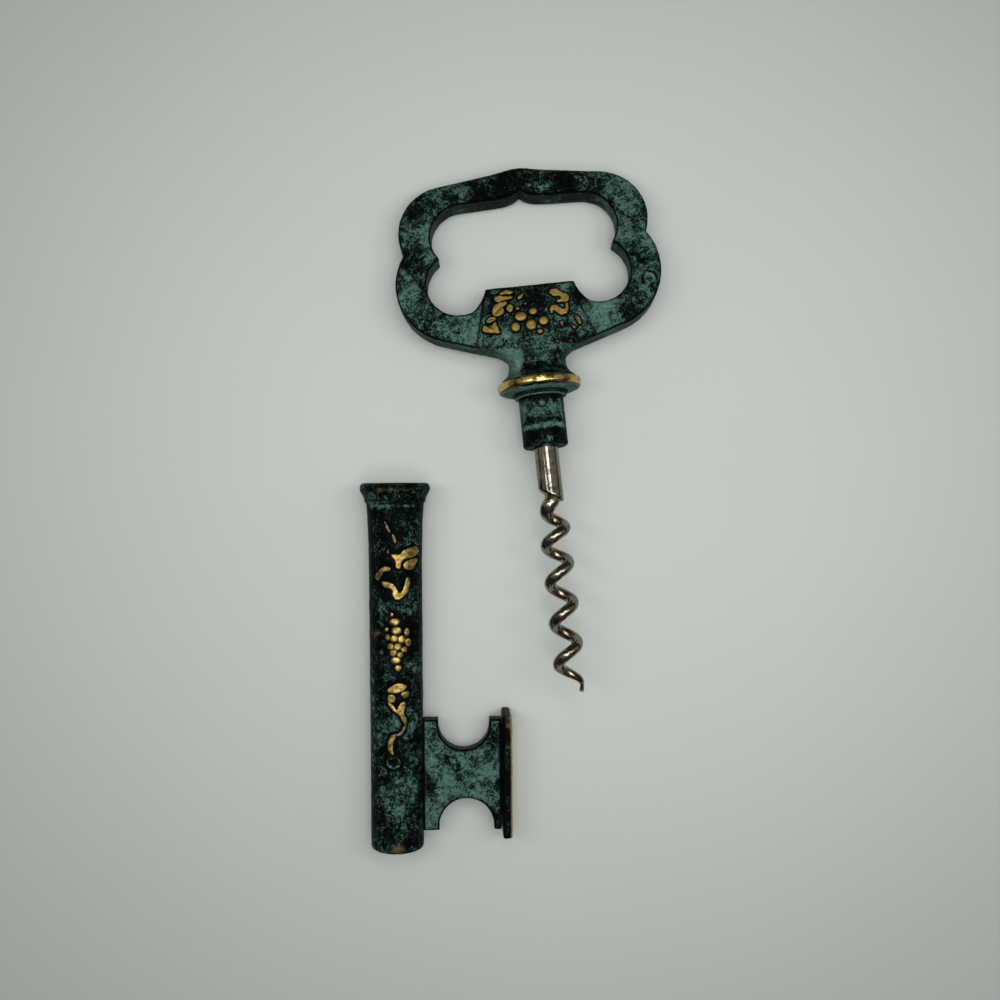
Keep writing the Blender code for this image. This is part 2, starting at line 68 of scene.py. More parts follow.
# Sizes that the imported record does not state, in millimetres
LIP_ACROSS = 4.0            # from the handle's axis to the lifter lip's place
TONGUE_TOP = 28.7
FLANGE_RADIUS = 11.5
FLANGE_DISH = 0.8
BOSS_RADIUS = 7.2
BOSS_HEIGHT = 1.2
SHOULDER = -FLANGE_DISH - BOSS_HEIGHT
SPIGOT_RADIUS = 6.15
SPIGOT_LENGTH = 13.7
SHANK_RADIUS = 3.35
SHANK_LENGTH = 15.0
SHANK_SLANT = 0.55          # rise of the shank's end for each millimetre across
WIRE_RADIUS = 1.55
WORM_RADIUS = 4.4
WORM_PITCH = 10.8
WORM_COIL = 51.5
SHEATH_LENGTH = 101.4
SHEATH_RADIUS = 7.3
SHEATH_FLARE = 0.65
FLARE_LENGTH = 7.0
COLLAR_RADIUS = 9.7
COLLAR_HEIGHT = 5.6
BORE_RADIUS = 6.4


# --- Frames ------------------------------------------------------------------------------

def mount(name):
    return next(m for m in RECORD["mounts"] if m["name"] == name)


def frame_matrix(origin, x_axis, y_axis, z_axis):
    """Millimetres in a piece's own upright frame to metres in the row frame."""
    columns = [Vector(axis).normalized() * MM for axis in (x_axis, y_axis, z_axis)]
    rows = [[column[i] for column in columns] + [origin[i]] for i in range(3)]
    return Matrix(rows + [[0.0, 0.0, 0.0, 1.0]])


def handle_matrix():
    """The handle stands along the lifter lip's normal, with its back along the bow's."""
    up = Vector(mount("lifter_lip")["axis"])
    back = Vector(mount("bow_back_face")["axis"])
    right = back.cross(up)
    lip = Vector(mount("lifter_lip")["pos_m"])
    return frame_matrix(lip - (right * LIP_ACROSS + up * TONGUE_TOP) * MM, right, back, up)


def sheath_matrix():
    """The sheath stands along its slide, with its bit to the right."""
    turn = next(j for j in frame["joints"] if j["type"] == "hinge")
    up = Vector(turn["axis"])
    right = Vector(mount("bit_outer_face")["axis"])
    return frame_matrix(Vector(turn["pos_m"]), right, up.cross(right), up)


HANDLE = handle_matrix()
SHEATH = sheath_matrix()


# --- Mesh helpers ------------------------------------------------------------------------

def add_piece(name, mesh, matrix, body, material, replaced=()):
    """Put a mesh made in a piece's own frame into place, riding on its body."""
    mesh.transform(matrix)
    mesh.materials.clear()
    mesh.materials.append(material)
    mesh.shade_smooth()
    piece = bpy.data.objects.new(name, mesh)
    bpy.context.scene.collection.objects.link(piece)
    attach(piece, body)
    if replaced:
        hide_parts(*replaced)


def mesh_from(name, vertices, faces):
    mesh = bpy.data.meshes.new(name)
    mesh.from_pydata(vertices, [], faces)
    mesh.update()
    return mesh


def positions(mesh):
    flat = np.empty(len(mesh.vertices) * 3)
    mesh.vertices.foreach_get("co", flat)
    return flat.reshape(-1, 3)


def normals(mesh):
    flat = np.empty(len(mesh.vertices) * 3)
    mesh.vertices.foreach_get("normal", flat)
    return flat.reshape(-1, 3)


def move_to(mesh, points):
    mesh.vertices.foreach_set("co", np.asarray(points, dtype=float).ravel())
    mesh.update()


def push_out(mesh, distances):
    """Move each vertex along its normal."""
    move_to(mesh, positions(mesh) + normals(mesh) * distances[:, None])


def paint(mesh, name, values):
    """Keep a value from 0 to 1 at each vertex for the materials; one not painted reads as 0."""
    layer = mesh.attributes.new(name, "FLOAT", "POINT")
    layer.data.foreach_set("value", np.clip(values, 0.0, 1.0).astype(np.float32))


def ramp(values, low, high):
    """0 below low, 1 above high, smooth between."""
    t = np.clip((values - low) / (high - low), 0.0, 1.0)
    return t * t * (3.0 - 2.0 * t)


def waves(points, size, seed):
    """Smooth noise of about the given size in millimetres, from about -1 to 1."""
    away = Vector((seed * 13.7, seed * 5.1, seed * 7.9))
    return np.array([noise.fractal(Vector(p) / size + away, 0.8, 2.1, 3) for p in points])


def cast_skin(points, layers):
    """The unevenness of a casting as a sum of waves, each (height, size, seed)."""
    return sum(height * waves(points, size, seed) for height, size, seed in layers)


def near(values, place, width):
    """1 at a place, falling smoothly to 0 within two or three widths of it."""
    return np.exp(-((values - place) / width) ** 2)


def patches(x, z, spots):
    """The sum of soft round spots, each (x, z, radius, strength)."""
    total = np.zeros(len(x))
    for spot_x, spot_z, radius, strength in spots:
        total += strength * np.exp(-((x - spot_x) ** 2 + (z - spot_z) ** 2) / radius ** 2)
    return total


def beside_walls(points, facing, width, lean=0.55):
    """1 on a flat casting's walls, falling to 0 over a width on its faces."""
    walls = points[np.abs(facing[:, 1]) < lean]
    tree = KDTree(len(walls))
    for i, wall in enumerate(walls):
        tree.insert(wall, i)
    tree.balance()
    away = np.array([tree.find(point)[2] for point in points])
    return near(away, 0.0, width)


def recast(name, node, matrix, voxel):
    """A fine, slightly softened copy of a CAD node, in a piece's own frame in millimetres."""
    source = frame["nodes"][node].data.copy()
    source.transform(matrix.inverted())
    work = bmesh.new()
    work.from_mesh(source)
    bmesh.ops.remove_doubles(work, verts=work.verts, dist=0.001)
    work.to_mesh(source)
    work.free()
    holder = bpy.data.objects.new(name, source)
    bpy.context.scene.collection.objects.link(holder)
    remesh = holder.modifiers.new("remesh", "REMESH")
    remesh.mode = "VOXEL"
    remesh.voxel_size = voxel
    smoothing = holder.modifiers.new("smooth", "SMOOTH")
    smoothing.iterations = 3
    graph = bpy.context.evaluated_depsgraph_get()
    mesh = bpy.data.meshes.new_from_object(holder.evaluated_get(graph))
    mesh.name = name
    bpy.data.objects.remove(holder, do_unlink=True)
    return mesh


def soften(mesh, where, rounds):
    """Blend away the hard joins of the CAD solid in one part of a mesh."""
    work = bmesh.new()
    work.from_mesh(mesh)
    chosen = [v for v in work.verts if where(v.co)]
    for _ in range(rounds):
        bmesh.ops.smooth_vert(work, verts=chosen, factor=0.5,
                              use_axis_x=True, use_axis_y=True, use_axis_z=True)
    work.to_mesh(mesh)
    work.free()
    mesh.update()


def resampled(profile, step):
    """A profile with points added, so that none are further apart than the step."""
    points = [profile[0]]
    for start, end in zip(profile, profile[1:]):
        count = max(1, math.ceil(math.dist(start, end) / step))
        for i in range(1, count + 1):
            points.append(tuple(a + (b - a) * i / count for a, b in zip(start, end)))
    return points


def lathe(name, profile, step, segments):
    """A turned solid about Z. The profile of (radius, z) closes on itself or on the axis."""
    outline = resampled(profile, step)
    closed = outline[0] == outline[-1]
    if closed:
        outline.pop()
    work = bmesh.new()
    rows = []
    for radius, z in outline:
        if radius < 0.001:
            rows.append([work.verts.new((0.0, 0.0, z))] * segments)
        else:
            angles = [math.tau * i / segments for i in range(segments)]
            rows.append([work.verts.new((radius * math.cos(a), radius * math.sin(a), z))
                         for a in angles])
    pairs = list(zip(rows, rows[1:]))
    if closed:
        pairs.append((rows[-1], rows[0]))
    for upper, lower in pairs:
        for i in range(segments):
            j = (i + 1) % segments
            corners = []
            for vertex in (upper[i], lower[i], lower[j], upper[j]):
                if vertex not in corners:
                    corners.append(vertex)
            if len(corners) > 2:
                work.faces.new(corners)
    bmesh.ops.recalc_face_normals(work, faces=work.faces)
    mesh = bpy.data.meshes.new(name)
    work.to_mesh(mesh)
    work.free()
    return mesh


# --- Raised relief -----------------------------------------------------------------------

RAGGED = 0.16               # how far a cast outline strays
LEAF_HEIGHT = 0.40
LEAF_SHOULDER = 0.35        # width of the rounding along its edge
GRAPE_HEIGHT = 0.45
GRAPE_SHOULDER = 0.7        # of its smaller half-width
SCRAP_HEIGHT = 0.20
SCRAP_SHOULDER = 0.25
VEIN_WIDTH = 0.22
VEIN_DEPTH = 0.75           # of the leaf's height
EDGE_SHADE = 0.15           # width of the dark line down its edge


def rounded(points, per_span=6, swell=0.15):
    """A closed curve that runs smoothly round a few points, a little outside them."""
    loop = []
    count = len(points)
    for i in range(count):
        p0, p1, p2, p3 = (np.array(points[(i + k) % count], float) for k in (-1, 0, 1, 2))
        for step in range(per_span):
            t = step / per_span
            loop.append(0.5 * (2 * p1 + (p2 - p0) * t + (2 * p0 - 5 * p1 + 4 * p2 - p3) * t ** 2
                               + (3 * p1 - p0 - 3 * p2 + p3) * t ** 3))
    loop = np.array(loop)
    along = np.roll(loop, -1, axis=0) - np.roll(loop, 1, axis=0)
    outward = np.stack([along[:, 1], -along[:, 0]], axis=1)
    outward /= np.maximum(np.linalg.norm(outward, axis=1), 1e-6)[:, None]
    turning = np.sum(loop[:, 0] * np.roll(loop[:, 1], -1) - np.roll(loop[:, 0], -1) * loop[:, 1])
    ragged = RAGGED * waves(np.column_stack([loop, np.zeros(len(loop))]), 0.9, 31)
    return loop + outward * math.copysign(1.0, turning) * (swell + ragged)[:, None]


def ring(centre, across, along, count=26):
    """An ellipse as a closed line."""
    angles = np.arange(count) * math.tau / count
    return np.stack([centre[0] + across * np.cos(angles), centre[1] + along * np.sin(angles)], axis=1)


def distance_to(points, loop):
    """Distance of each point to a closed line."""
    best = np.full(len(points), 1e9)
    for a, b in zip(loop, np.roll(loop, -1, axis=0)):
        best = np.minimum(best, distance_to_span(points, a, b))
    return best


def distance_to_span(points, a, b):
    """Distance of each point to the straight line between two places."""
    a = np.asarray(a, float)
    along = np.asarray(b, float) - a
    t = np.clip((points - a) @ along / max(along @ along, 1e-9), 0.0, 1.0)
    return np.linalg.norm(points - a - t[:, None] * along, axis=1)


def inside(points, loop):
    """Which points lie inside a closed line."""
    result = np.zeros(len(points), bool)
    x, y = points[:, 0], points[:, 1]
    for (x0, y0), (x1, y1) in zip(loop, np.roll(loop, -1, axis=0)):
        crosses = (y0 > y) != (y1 > y)
        at = (x1 - x0) * (y - y0) / ((y1 - y0) or 1e-12) + x0
        result ^= crosses & (x < at)
    return result


def island(loop, height, shoulder, veins, spacing=0.17):
    """A raised shape as (flat points with their heights, triangles, distance to its edge)."""
    low = loop.min(axis=0)
    high = loop.max(axis=0)
    columns = np.arange(low[0], high[0], spacing)
    rows = np.arange(low[1], high[1], spacing)
    grid = np.stack(np.meshgrid(columns, rows), axis=-1).reshape(-1, 2)
    grid = grid[inside(grid, loop)]
    grid = grid[distance_to(grid, loop) > spacing * 0.5]
    flat = [Vector(p) for p in np.vstack([loop, grid])]
    edges = [(i, (i + 1) % len(loop)) for i in range(len(loop))]
    points, _, faces, *_ = delaunay_2d_cdt(flat, edges, [list(range(len(loop)))], 1, 0.0001)
    points = np.array([p[:] for p in points])
    edge = distance_to(points, loop)
    inward = np.clip(edge / shoulder, 0.0, 1.0)
    rise = height * np.sqrt(np.clip(1.0 - (1.0 - inward) ** 2, 0.0, 1.0))
    groove = np.full(len(points), 9.0)
    for a, b in veins:
        groove = np.minimum(groove, distance_to_span(points, a, b))
    rise -= VEIN_DEPTH * height * near(groove, 0.0, VEIN_WIDTH)
    return points, np.clip(rise, 0.0, None), [tuple(f) for f in faces], np.minimum(edge, groove)


def relief_mesh(name, islands, onto, root=0.5):
    """Join raised shapes into one mesh; onto(points, height) bends them onto their surface."""
    vertices = []
    faces = []
    edge_values = []
    for points, rise, triangles, edge in islands:
        start = len(vertices)
        count = len(points)
        vertices += [tuple(v) for v in onto(points, rise)]
        vertices += [tuple(v) for v in onto(points, np.full(count, -root))]
        edge_values += list(edge) + [0.0] * count
        used = {}
        for triangle in triangles:
            faces.append(tuple(start + i for i in triangle))
            faces.append(tuple(start + count + i for i in reversed(triangle)))
            for a, b in zip(triangle, triangle[1:] + triangle[:1]):
                used[a, b] = True
        for a, b in used:
            if (b, a) not in used:
                faces.append((start + b, start + a, start + count + a, start + count + b))
    work = bmesh.new()
    for vertex in vertices:
        work.verts.new(vertex)
    work.verts.ensure_lookup_table()
    for face in faces:
        work.faces.new([work.verts[i] for i in face])
    bmesh.ops.recalc_face_normals(work, faces=work.faces)
    mesh = bpy.data.meshes.new(name)
    work.to_mesh(mesh)
    work.free()
    paint(mesh, "dark", 1.0 - ramp(np.array(edge_values), 0.0, EDGE_SHADE))
    loose = bmesh.new()
    loose.from_mesh(mesh)
    bmesh.ops.delete(loose, geom=[v for v in loose.verts if not v.link_faces], context="VERTS")
    loose.to_mesh(mesh)
    loose.free()
    return mesh


# On the shield, across and up from the flange, in millimetres. A leaf is its outline and its veins,
# and a grape is its place and its half-widths across and along.
SHIELD_LEAVES = [
    ([(-8.3, 26.7), (-7.7, 27.4), (-6.2, 27.6), (-4.8, 27.2), (-4.9, 26.8), (-6.3, 26.6)], []),
    ([(-9.9, 25.4), (-9.6, 26.1), (-8.5, 26.3), (-7.6, 26.1), (-6.3, 25.9), (-5.1, 25.7), (-5.2, 25.3),
      (-6.6, 25.1), (-8.0, 24.9), (-8.8, 24.6), (-9.6, 24.8)], []),
    ([(-10.9, 22.2), (-10.3, 23.4), (-9.2, 24.2), (-7.8, 24.5), (-6.7, 24.4), (-6.9, 23.9),
      (-7.6, 23.4), (-7.9, 22.9), (-7.7, 21.8), (-8.3, 21.1), (-9.4, 20.7), (-10.5, 21.0)],
     [((-10.0, 21.6), (-8.1, 23.3))]),
    ([(-6.9, 22.9), (-6.2, 23.6), (-5.4, 23.4), (-5.2, 22.6), (-5.5, 21.8), (-6.1, 21.6), (-6.8, 22.1)],
     []),
    ([(5.1, 25.9), (5.8, 26.7), (7.2, 26.6), (8.6, 25.6), (10.0, 24.8), (10.3, 23.8), (9.7, 23.0),
      (8.3, 22.9), (7.2, 22.9), (6.9, 23.3), (7.8, 23.7), (8.3, 24.2), (7.3, 24.7), (6.2, 24.7),
      (5.7, 25.3)], []),
    ([(4.8, 20.4), (5.0, 21.6), (5.6, 22.2), (6.7, 22.2), (7.5, 21.5), (8.3, 20.9), (9.1, 21.2),
      (9.2, 22.3), (9.8, 22.5), (9.9, 21.1), (9.5, 19.9), (8.5, 19.4), (7.2, 19.6), (6.4, 20.3),
      (5.8, 20.9), (5.3, 20.2)], []),
    ([(-13.8, 17.0), (-13.5, 18.3), (-12.3, 18.0), (-11.2, 18.2), (-10.3, 19.2), (-9.7, 17.0),
      (-9.3, 16.1), (-11.5, 16.2)], [((-12.6, 18.2), (-11.4, 17.6))]),
    ([(-12.6, 19.5), (-11.9, 20.5), (-10.1, 20.4), (-10.6, 19.6), (-12.0, 19.1)],
     [((-12.0, 19.9), (-10.9, 20.0))]),
    ([(-3.7, 24.8), (-3.1, 25.7), (-1.9, 26.3), (-2.4, 25.3)], []),
]
SHIELD_WORN_SCRAPS = [
    [(11.5, 18.4), (12.2, 18.6), (12.9, 16.9), (12.4, 16.3)],
    [(10.0, 16.5), (10.6, 16.3), (11.4, 15.3), (10.6, 15.4)],
    [(7.2, 17.4), (8.0, 17.5), (7.8, 16.1)],
]
SHIELD_GRAPES = [
    (-3.3, 20.0, 1.65, 1.25), (0.2, 21.1, 1.15, 0.95), (-5.0, 17.2, 1.25, 1.3), (-0.7, 17.4, 1.4, 1.45),
    (2.8, 18.2, 1.3, 1.2), (1.5, 15.4, 0.8, 0.65), (-3.9, 22.3, 0.5, 0.4), (-1.7, 23.4, 0.35, 0.3),
]

# On the sheath, across round the tube and up from the mouth, in the same way
SHEATH_LEAVES = [
    ([(-0.8, -19.3), (1.5, -19.2), (3.0, -18.0), (6.3, -17.3), (7.6, -18.7), (5.8, -20.0), (3.1, -20.5),
      (2.0, -21.6), (1.6, -23.2), (0.5, -22.8), (0.3, -21.0)], []),
    ([(2.7, -21.8), (4.2, -20.9), (6.9, -20.7), (6.3, -22.1), (4.8, -23.4), (3.0, -23.2)], []),
    ([(-4.1, -23.4), (-2.5, -22.6), (-1.0, -22.9), (-1.4, -23.7), (-3.0, -24.1), (-4.2, -25.8),
      (-5.1, -26.3), (-5.4, -25.1)], []),
    ([(-3.3, -26.6), (-1.1, -26.9), (0.3, -28.0), (1.1, -29.6), (2.2, -29.2), (3.0, -27.4),
      (3.6, -25.6), (4.4, -26.4), (3.9, -29.1), (2.2, -31.1), (0.5, -31.6), (-0.5, -30.3),
      (-0.7, -28.8), (-2.9, -27.9)], []),
    ([(-2.1, -56.1), (-0.7, -55.0), (1.0, -54.4), (3.1, -55.0), (2.7, -56.2), (1.0, -56.9),
      (-1.4, -56.9)], []),
    ([(-1.8, -57.7), (-0.4, -57.5), (0.1, -58.8), (-0.7, -59.6), (-1.9, -59.2)], []),
    ([(2.0, -56.9), (3.6, -56.7), (3.9, -58.0), (2.7, -58.5), (1.8, -57.8)], []),
    ([(-1.9, -59.5), (-0.6, -60.3), (0.5, -61.6), (1.3, -59.9), (2.6, -59.6), (2.8, -61.1),
      (2.4, -62.7), (3.1, -64.5), (2.9, -66.3), (2.2, -65.0), (1.2, -63.3), (-0.2, -62.2),
      (-1.3, -60.9)], []),
    ([(-0.8, -68.4), (0.3, -68.3), (-0.3, -69.8), (-0.8, -71.8), (-0.5, -73.9), (-1.5, -73.2),
      (-2.1, -71.5), (-1.7, -69.8)], []),
]
SHEATH_GRAPES = [
    (-0.7, -35.6, 0.35, 0.5), (0.1, -37.6, 1.4, 1.0), (0.5, -40.0, 1.3, 1.1), (3.4, -40.5, 0.7, 1.1),
    (-2.2, -39.7, 0.5, 0.6), (-1.9, -41.8, 0.6, 0.8), (-0.1, -42.2, 1.1, 1.0), (1.9, -42.4, 1.1, 1.1),
    (3.8, -43.3, 0.8, 1.1), (-1.1, -44.3, 0.9, 0.9), (0.8, -44.4, 1.1, 1.0), (2.6, -45.2, 0.8, 0.8),
    (-0.4, -46.1, 1.0, 0.9), (1.4, -46.6, 0.8, 0.8), (0.2, -48.1, 1.3, 1.0), (0.9, -50.2, 0.9, 0.9),
]
SHEATH_SCRAPS = [
    [(-2.5, -10.6), (-2.0, -10.6), (-1.0, -13.0), (-1.4, -13.2)],
    [(-0.5, -14.2), (0.1, -14.0), (0.6, -15.6), (0.1, -16.2)],
    [(-1.9, -18.2), (-1.4, -18.0), (-1.4, -18.8), (-1.8, -18.9)],
    [(2.7, -65.6), (3.3, -65.7), (2.1, -68.0), (0.3, -68.7), (1.7, -67.3)],
]


def loops_of(leaves, grapes, scraps, swell=0.05):
    """Every raised shape as (outline, height, width of its shoulder, veins)."""
    shapes = [(rounded(points), LEAF_HEIGHT, LEAF_SHOULDER, veins) for points, veins in leaves]
    for x, z, across, along in grapes:
        loop = ring((x, z), across + swell, along + swell)
        shapes.append((loop, GRAPE_HEIGHT, min(across, along) * GRAPE_SHOULDER, []))
    shapes += [(rounded(points, swell=0.1), SCRAP_HEIGHT, SCRAP_SHOULDER, []) for points in scraps]
    return shapes


def ditch(points, shapes, width):
    """1 beside the raised shapes, falling to 0 over a width."""
    nearest = np.full(len(points), 9.0)
    for loop, _, _, _ in shapes:
        low = loop.min(axis=0) - 3 * width
        high = loop.max(axis=0) + 3 * width
        close = np.all((points > low) & (points < high), axis=1)
        if close.any():
            nearest[close] = np.minimum(nearest[close], distance_to(points[close], loop))
    return near(nearest, 0.0, width)


# --- Materials ---------------------------------------------------------------------------

class Graph:
    """A material's nodes; every input is given a value or another node's output."""

    def __init__(self, name):
        self.material = bpy.data.materials.new(name)
        self.material.use_nodes = True
        self.tree = self.material.node_tree
        self.shader = self.tree.nodes["Principled BSDF"]
        self.place = self.add("ShaderNodeTexCoord").outputs["Object"]

    def add(self, kind, inputs=None, **settings):
        made = self.tree.nodes.new(kind)
        for name, value in settings.items():
            setattr(made, name, value)
        for name, value in (inputs or {}).items():
            self.give(made.inputs[name], value)
        return made

    def give(self, socket, value):
        if isinstance(value, bpy.types.NodeSocket):
            self.tree.links.new(value, socket)
        else:
            socket.default_value = value

    def noise(self, size, detail, roughness, distortion=0.0):
        """Noise with features of the given size in millimetres."""
        made = self.add("ShaderNodeTexNoise", {
            "Vector": self.place, "Scale": 1.0 / (size * MM), "Detail": detail, "Roughness": roughness,
            "Distortion": distortion})
        return made.outputs["Fac"]

    def math(self, operation, a, b=0.0, c=0.0):
        made = self.add("ShaderNodeMath", {0: a, 1: b, 2: c}, operation=operation)
        return made.outputs[0]

    def between(self, value, low, high):
        """0 below low, 1 above high."""
        made = self.add("ShaderNodeMapRange", {"Value": value, "From Min": low, "From Max": high},
                        interpolation_type="SMOOTHSTEP")
        return made.outputs["Result"]

    def mix(self, share, first, second):
        made = self.add("ShaderNodeMix", {"Factor": share}, data_type="RGBA")
        self.give(made.inputs["A"], first)
        self.give(made.inputs["B"], second)
        return made.outputs["Result"]

    def attribute(self, name):
        return self.add("ShaderNodeAttribute", attribute_name=name).outputs["Fac"]

    def bump(self, height, strength, depth):
        """Fine relief of the given depth in millimetres."""
        made = self.add("ShaderNodeBump", {"Height": height, "Strength": strength,
                                           "Distance": depth * MM})
        return made.outputs["Normal"]

    def scaled(self, value, low, high):
        """A value from 0 to 1 spread from low to high."""
        made = self.add("ShaderNodeMapRange", {"Value": value, "To Min": low, "To Max": high})
        return made.outputs["Result"]

    def finish(self, **inputs):
        for name, value in inputs.items():
            self.give(self.shader.inputs[name.replace("_", " ")], value)
        return self.material


BLACK_GREEN = (0.0013, 0.0019, 0.0019, 1.0)
DEEP_TEAL = (0.013, 0.030, 0.025, 1.0)
VERDIGRIS = (0.075, 0.150, 0.120, 1.0)
PALE_VERDIGRIS = (0.25, 0.35, 0.30, 1.0)
BROWN = (0.050, 0.026, 0.010, 1.0)
COPPER = (0.15, 0.098, 0.045, 1.0)
OLIVE_GOLD = (0.145, 0.10, 0.022, 1.0)
AGED_BRASS = (0.25, 0.17, 0.04, 1.0)
OLD_BRASS = (0.46, 0.335, 0.11, 1.0)
BRIGHT_BRASS = (0.54, 0.40, 0.13, 1.0)
FADED_BRASS = (0.24, 0.20, 0.105, 1.0)
# Dark patina and painted shade share this colour, through each mesh's dark value
DARK_AND_PAINTED_SHADE = (0.002, 0.0025, 0.0025, 1.0)
NICKEL = (0.235, 0.21, 0.162, 1.0)
TARNISH = (0.055, 0.049, 0.038, 1.0)
TABLE_COOL = (0.53, 0.565, 0.535, 1.0)
TABLE_WARM = (0.56, 0.59, 0.565, 1.0)
# The dim outer tone of the table's painted falloff of light
TABLE_PAINTED_DIM = (0.44, 0.46, 0.435, 1.0)
ROOM = (0.92, 0.96, 0.94, 1.0)

# How much each size of noise adds to the verdigris, and what is taken off the sum
BROAD_SHARE = 1.6
MOTTLE_SHARE = 2.8
GRAIN_SHARE = 2.6
BARE_LEVEL = 3.52


def patina():
    """Near-black metal with speckled verdigris, dark recesses and painted shade, and copper and brass where
    rubbed.
    """
    g = Graph("patinated_bronze")
    broad = g.noise(6.0, 2.0, 0.5)
    mottle = g.noise(1.5, 5.0, 0.72, distortion=0.8)
    grain = g.noise(0.5, 3.0, 0.75)
    spread = g.math("MULTIPLY_ADD", broad, BROAD_SHARE, g.math("MULTIPLY", mottle, MOTTLE_SHARE))
    spread = g.math("MULTIPLY_ADD", grain, GRAIN_SHARE, spread)
    amount = g.math("ADD", g.math("SUBTRACT", spread, BARE_LEVEL), g.attribute("verdigris"))
    colour = g.mix(g.between(amount, 0.05, 0.5), BLACK_GREEN, DEEP_TEAL)
    much = g.between(amount, 0.35, 0.95)
    colour = g.mix(much, colour, VERDIGRIS)
    colour = g.mix(g.between(amount, 1.1, 2.0), colour, PALE_VERDIGRIS)
    dark = g.between(g.math("MULTIPLY_ADD", mottle, 0.7, g.attribute("dark")), 0.6, 1.0)
    colour = g.mix(dark, colour, DARK_AND_PAINTED_SHADE)
    rub = g.math("MULTIPLY_ADD", mottle, 0.7, g.attribute("brass"))
    colour = g.mix(g.between(rub, 0.5, 0.9), colour, COPPER)
    bare = g.between(rub, 0.85, 1.1)
    colour = g.mix(bare, colour, OLD_BRASS)
    rough = g.scaled(much, 0.38, 0.75)
    height = g.math("MULTIPLY_ADD", grain, 0.5, mottle)
    return g.finish(Base_Color=colour, Roughness=rough, Metallic=bare, Specular_IOR_Level=0.015,
                    Normal=g.bump(height, 0.7, 0.18))


def relief_brass(name, tone, shine):
    """Raised brass, olive to a given tone on top and dark down its sides; shine is its metallic share."""
    g = Graph(name)
    tint = g.noise(1.3, 3.0, 0.6)
    fine = g.noise(0.4, 3.0, 0.65)
    colour = g.mix(g.between(tint, 0.38, 0.65), OLIVE_GOLD, tone)
    dark = g.between(g.math("MULTIPLY_ADD", fine, 0.6, g.attribute("dark")), 0.5, 0.9)
    colour = g.mix(dark, colour, DARK_AND_PAINTED_SHADE)
    metal = g.math("MULTIPLY", g.math("SUBTRACT", 1.0, dark), shine)
    rough = g.scaled(fine, 0.28, 0.55)
    return g.finish(Base_Color=colour, Roughness=rough, Metallic=metal, Specular_IOR_Level=0.2,
                    Normal=g.bump(fine, 0.3, 0.06))


def faint_relief():
    """Low relief that has lost most of its brass to a brown stain."""
    g = Graph("faint_relief")
    tint = g.noise(0.9, 3.0, 0.6)
    colour = g.mix(g.between(tint, 0.35, 0.65), BROWN, FADED_BRASS)
    dark = g.between(g.math("MULTIPLY_ADD", tint, 0.6, g.attribute("dark")), 0.5, 0.9)
    colour = g.mix(dark, colour, DARK_AND_PAINTED_SHADE)
    return g.finish(Base_Color=colour, Roughness=0.6, Metallic=0.0, Specular_IOR_Level=0.15)


def polished_brass():
    """The turned rim, bright with faint marks along it, brown in places and dark where painted shade lies."""
    g = Graph("polished_brass")
    marks = g.noise(1.1, 4.0, 0.65)
    stain = g.between(g.noise(2.6, 3.0, 0.6), 0.47, 0.62)
    colour = g.mix(g.math("MULTIPLY", stain, 0.85), BRIGHT_BRASS, BROWN)
    dark = g.between(g.math("MULTIPLY_ADD", marks, 0.5, g.attribute("dark")), 0.6, 0.95)
    colour = g.mix(dark, colour, DARK_AND_PAINTED_SHADE)
    metal = g.math("SUBTRACT", 1.0, dark)
    rough = g.scaled(marks, 0.1, 0.3)
    return g.finish(Base_Color=colour, Roughness=rough, Metallic=metal, Specular_IOR_Level=0.1,
                    Normal=g.bump(marks, 0.5, 0.12))


def nickel():
    """Drawn wire under worn nickel, bright with smoky tarnish."""
    g = Graph("nickel_steel")
    cloud = g.noise(2.4, 4.0, 0.65)
    fine = g.noise(0.6, 3.0, 0.6)
    colour = g.mix(g.between(g.math("ADD", cloud, g.attribute("dark")), 0.5, 0.8), NICKEL, TARNISH)
    rough = g.scaled(fine, 0.04, 0.1)
    return g.finish(Base_Color=colour, Roughness=rough, Metallic=1.0, Normal=g.bump(fine, 0.25, 0.06))


PATINA = patina()
DULL_BRASS = relief_brass("dull_brass", AGED_BRASS, 0.45)
RUBBED_BRASS = relief_brass("rubbed_brass", OLD_BRASS, 0.9)
FAINT_RELIEF = faint_relief()
POLISHED_BRASS = polished_brass()
NICKEL_STEEL = nickel()


# The unevenness of each casting: heights and sizes in millimetres, and seeds
BOW_SKIN = [(0.045, 2.2, 1), (0.06, 9.0, 2)]
FLANGE_SKIN = [(0.04, 3.0, 4)]
SPIGOT_SKIN = [(0.03, 3.0, 6)]
TUBE_SKIN = [(0.05, 3.0, 11), (0.05, 9.0, 12)]
PLUG_SKIN = [(0.04, 2.5, 13)]
COLLAR_SKIN = [(0.05, 2.6, 15)]
BIT_SKIN = [(0.05, 2.4, 21), (0.05, 7.0, 22)]
PLATE_SKIN = [(0.05, 2.4, 23)]
PLATE_HAMMERING = [(0.12, 2.0, 24)]


# --- Handle ------------------------------------------------------------------------------

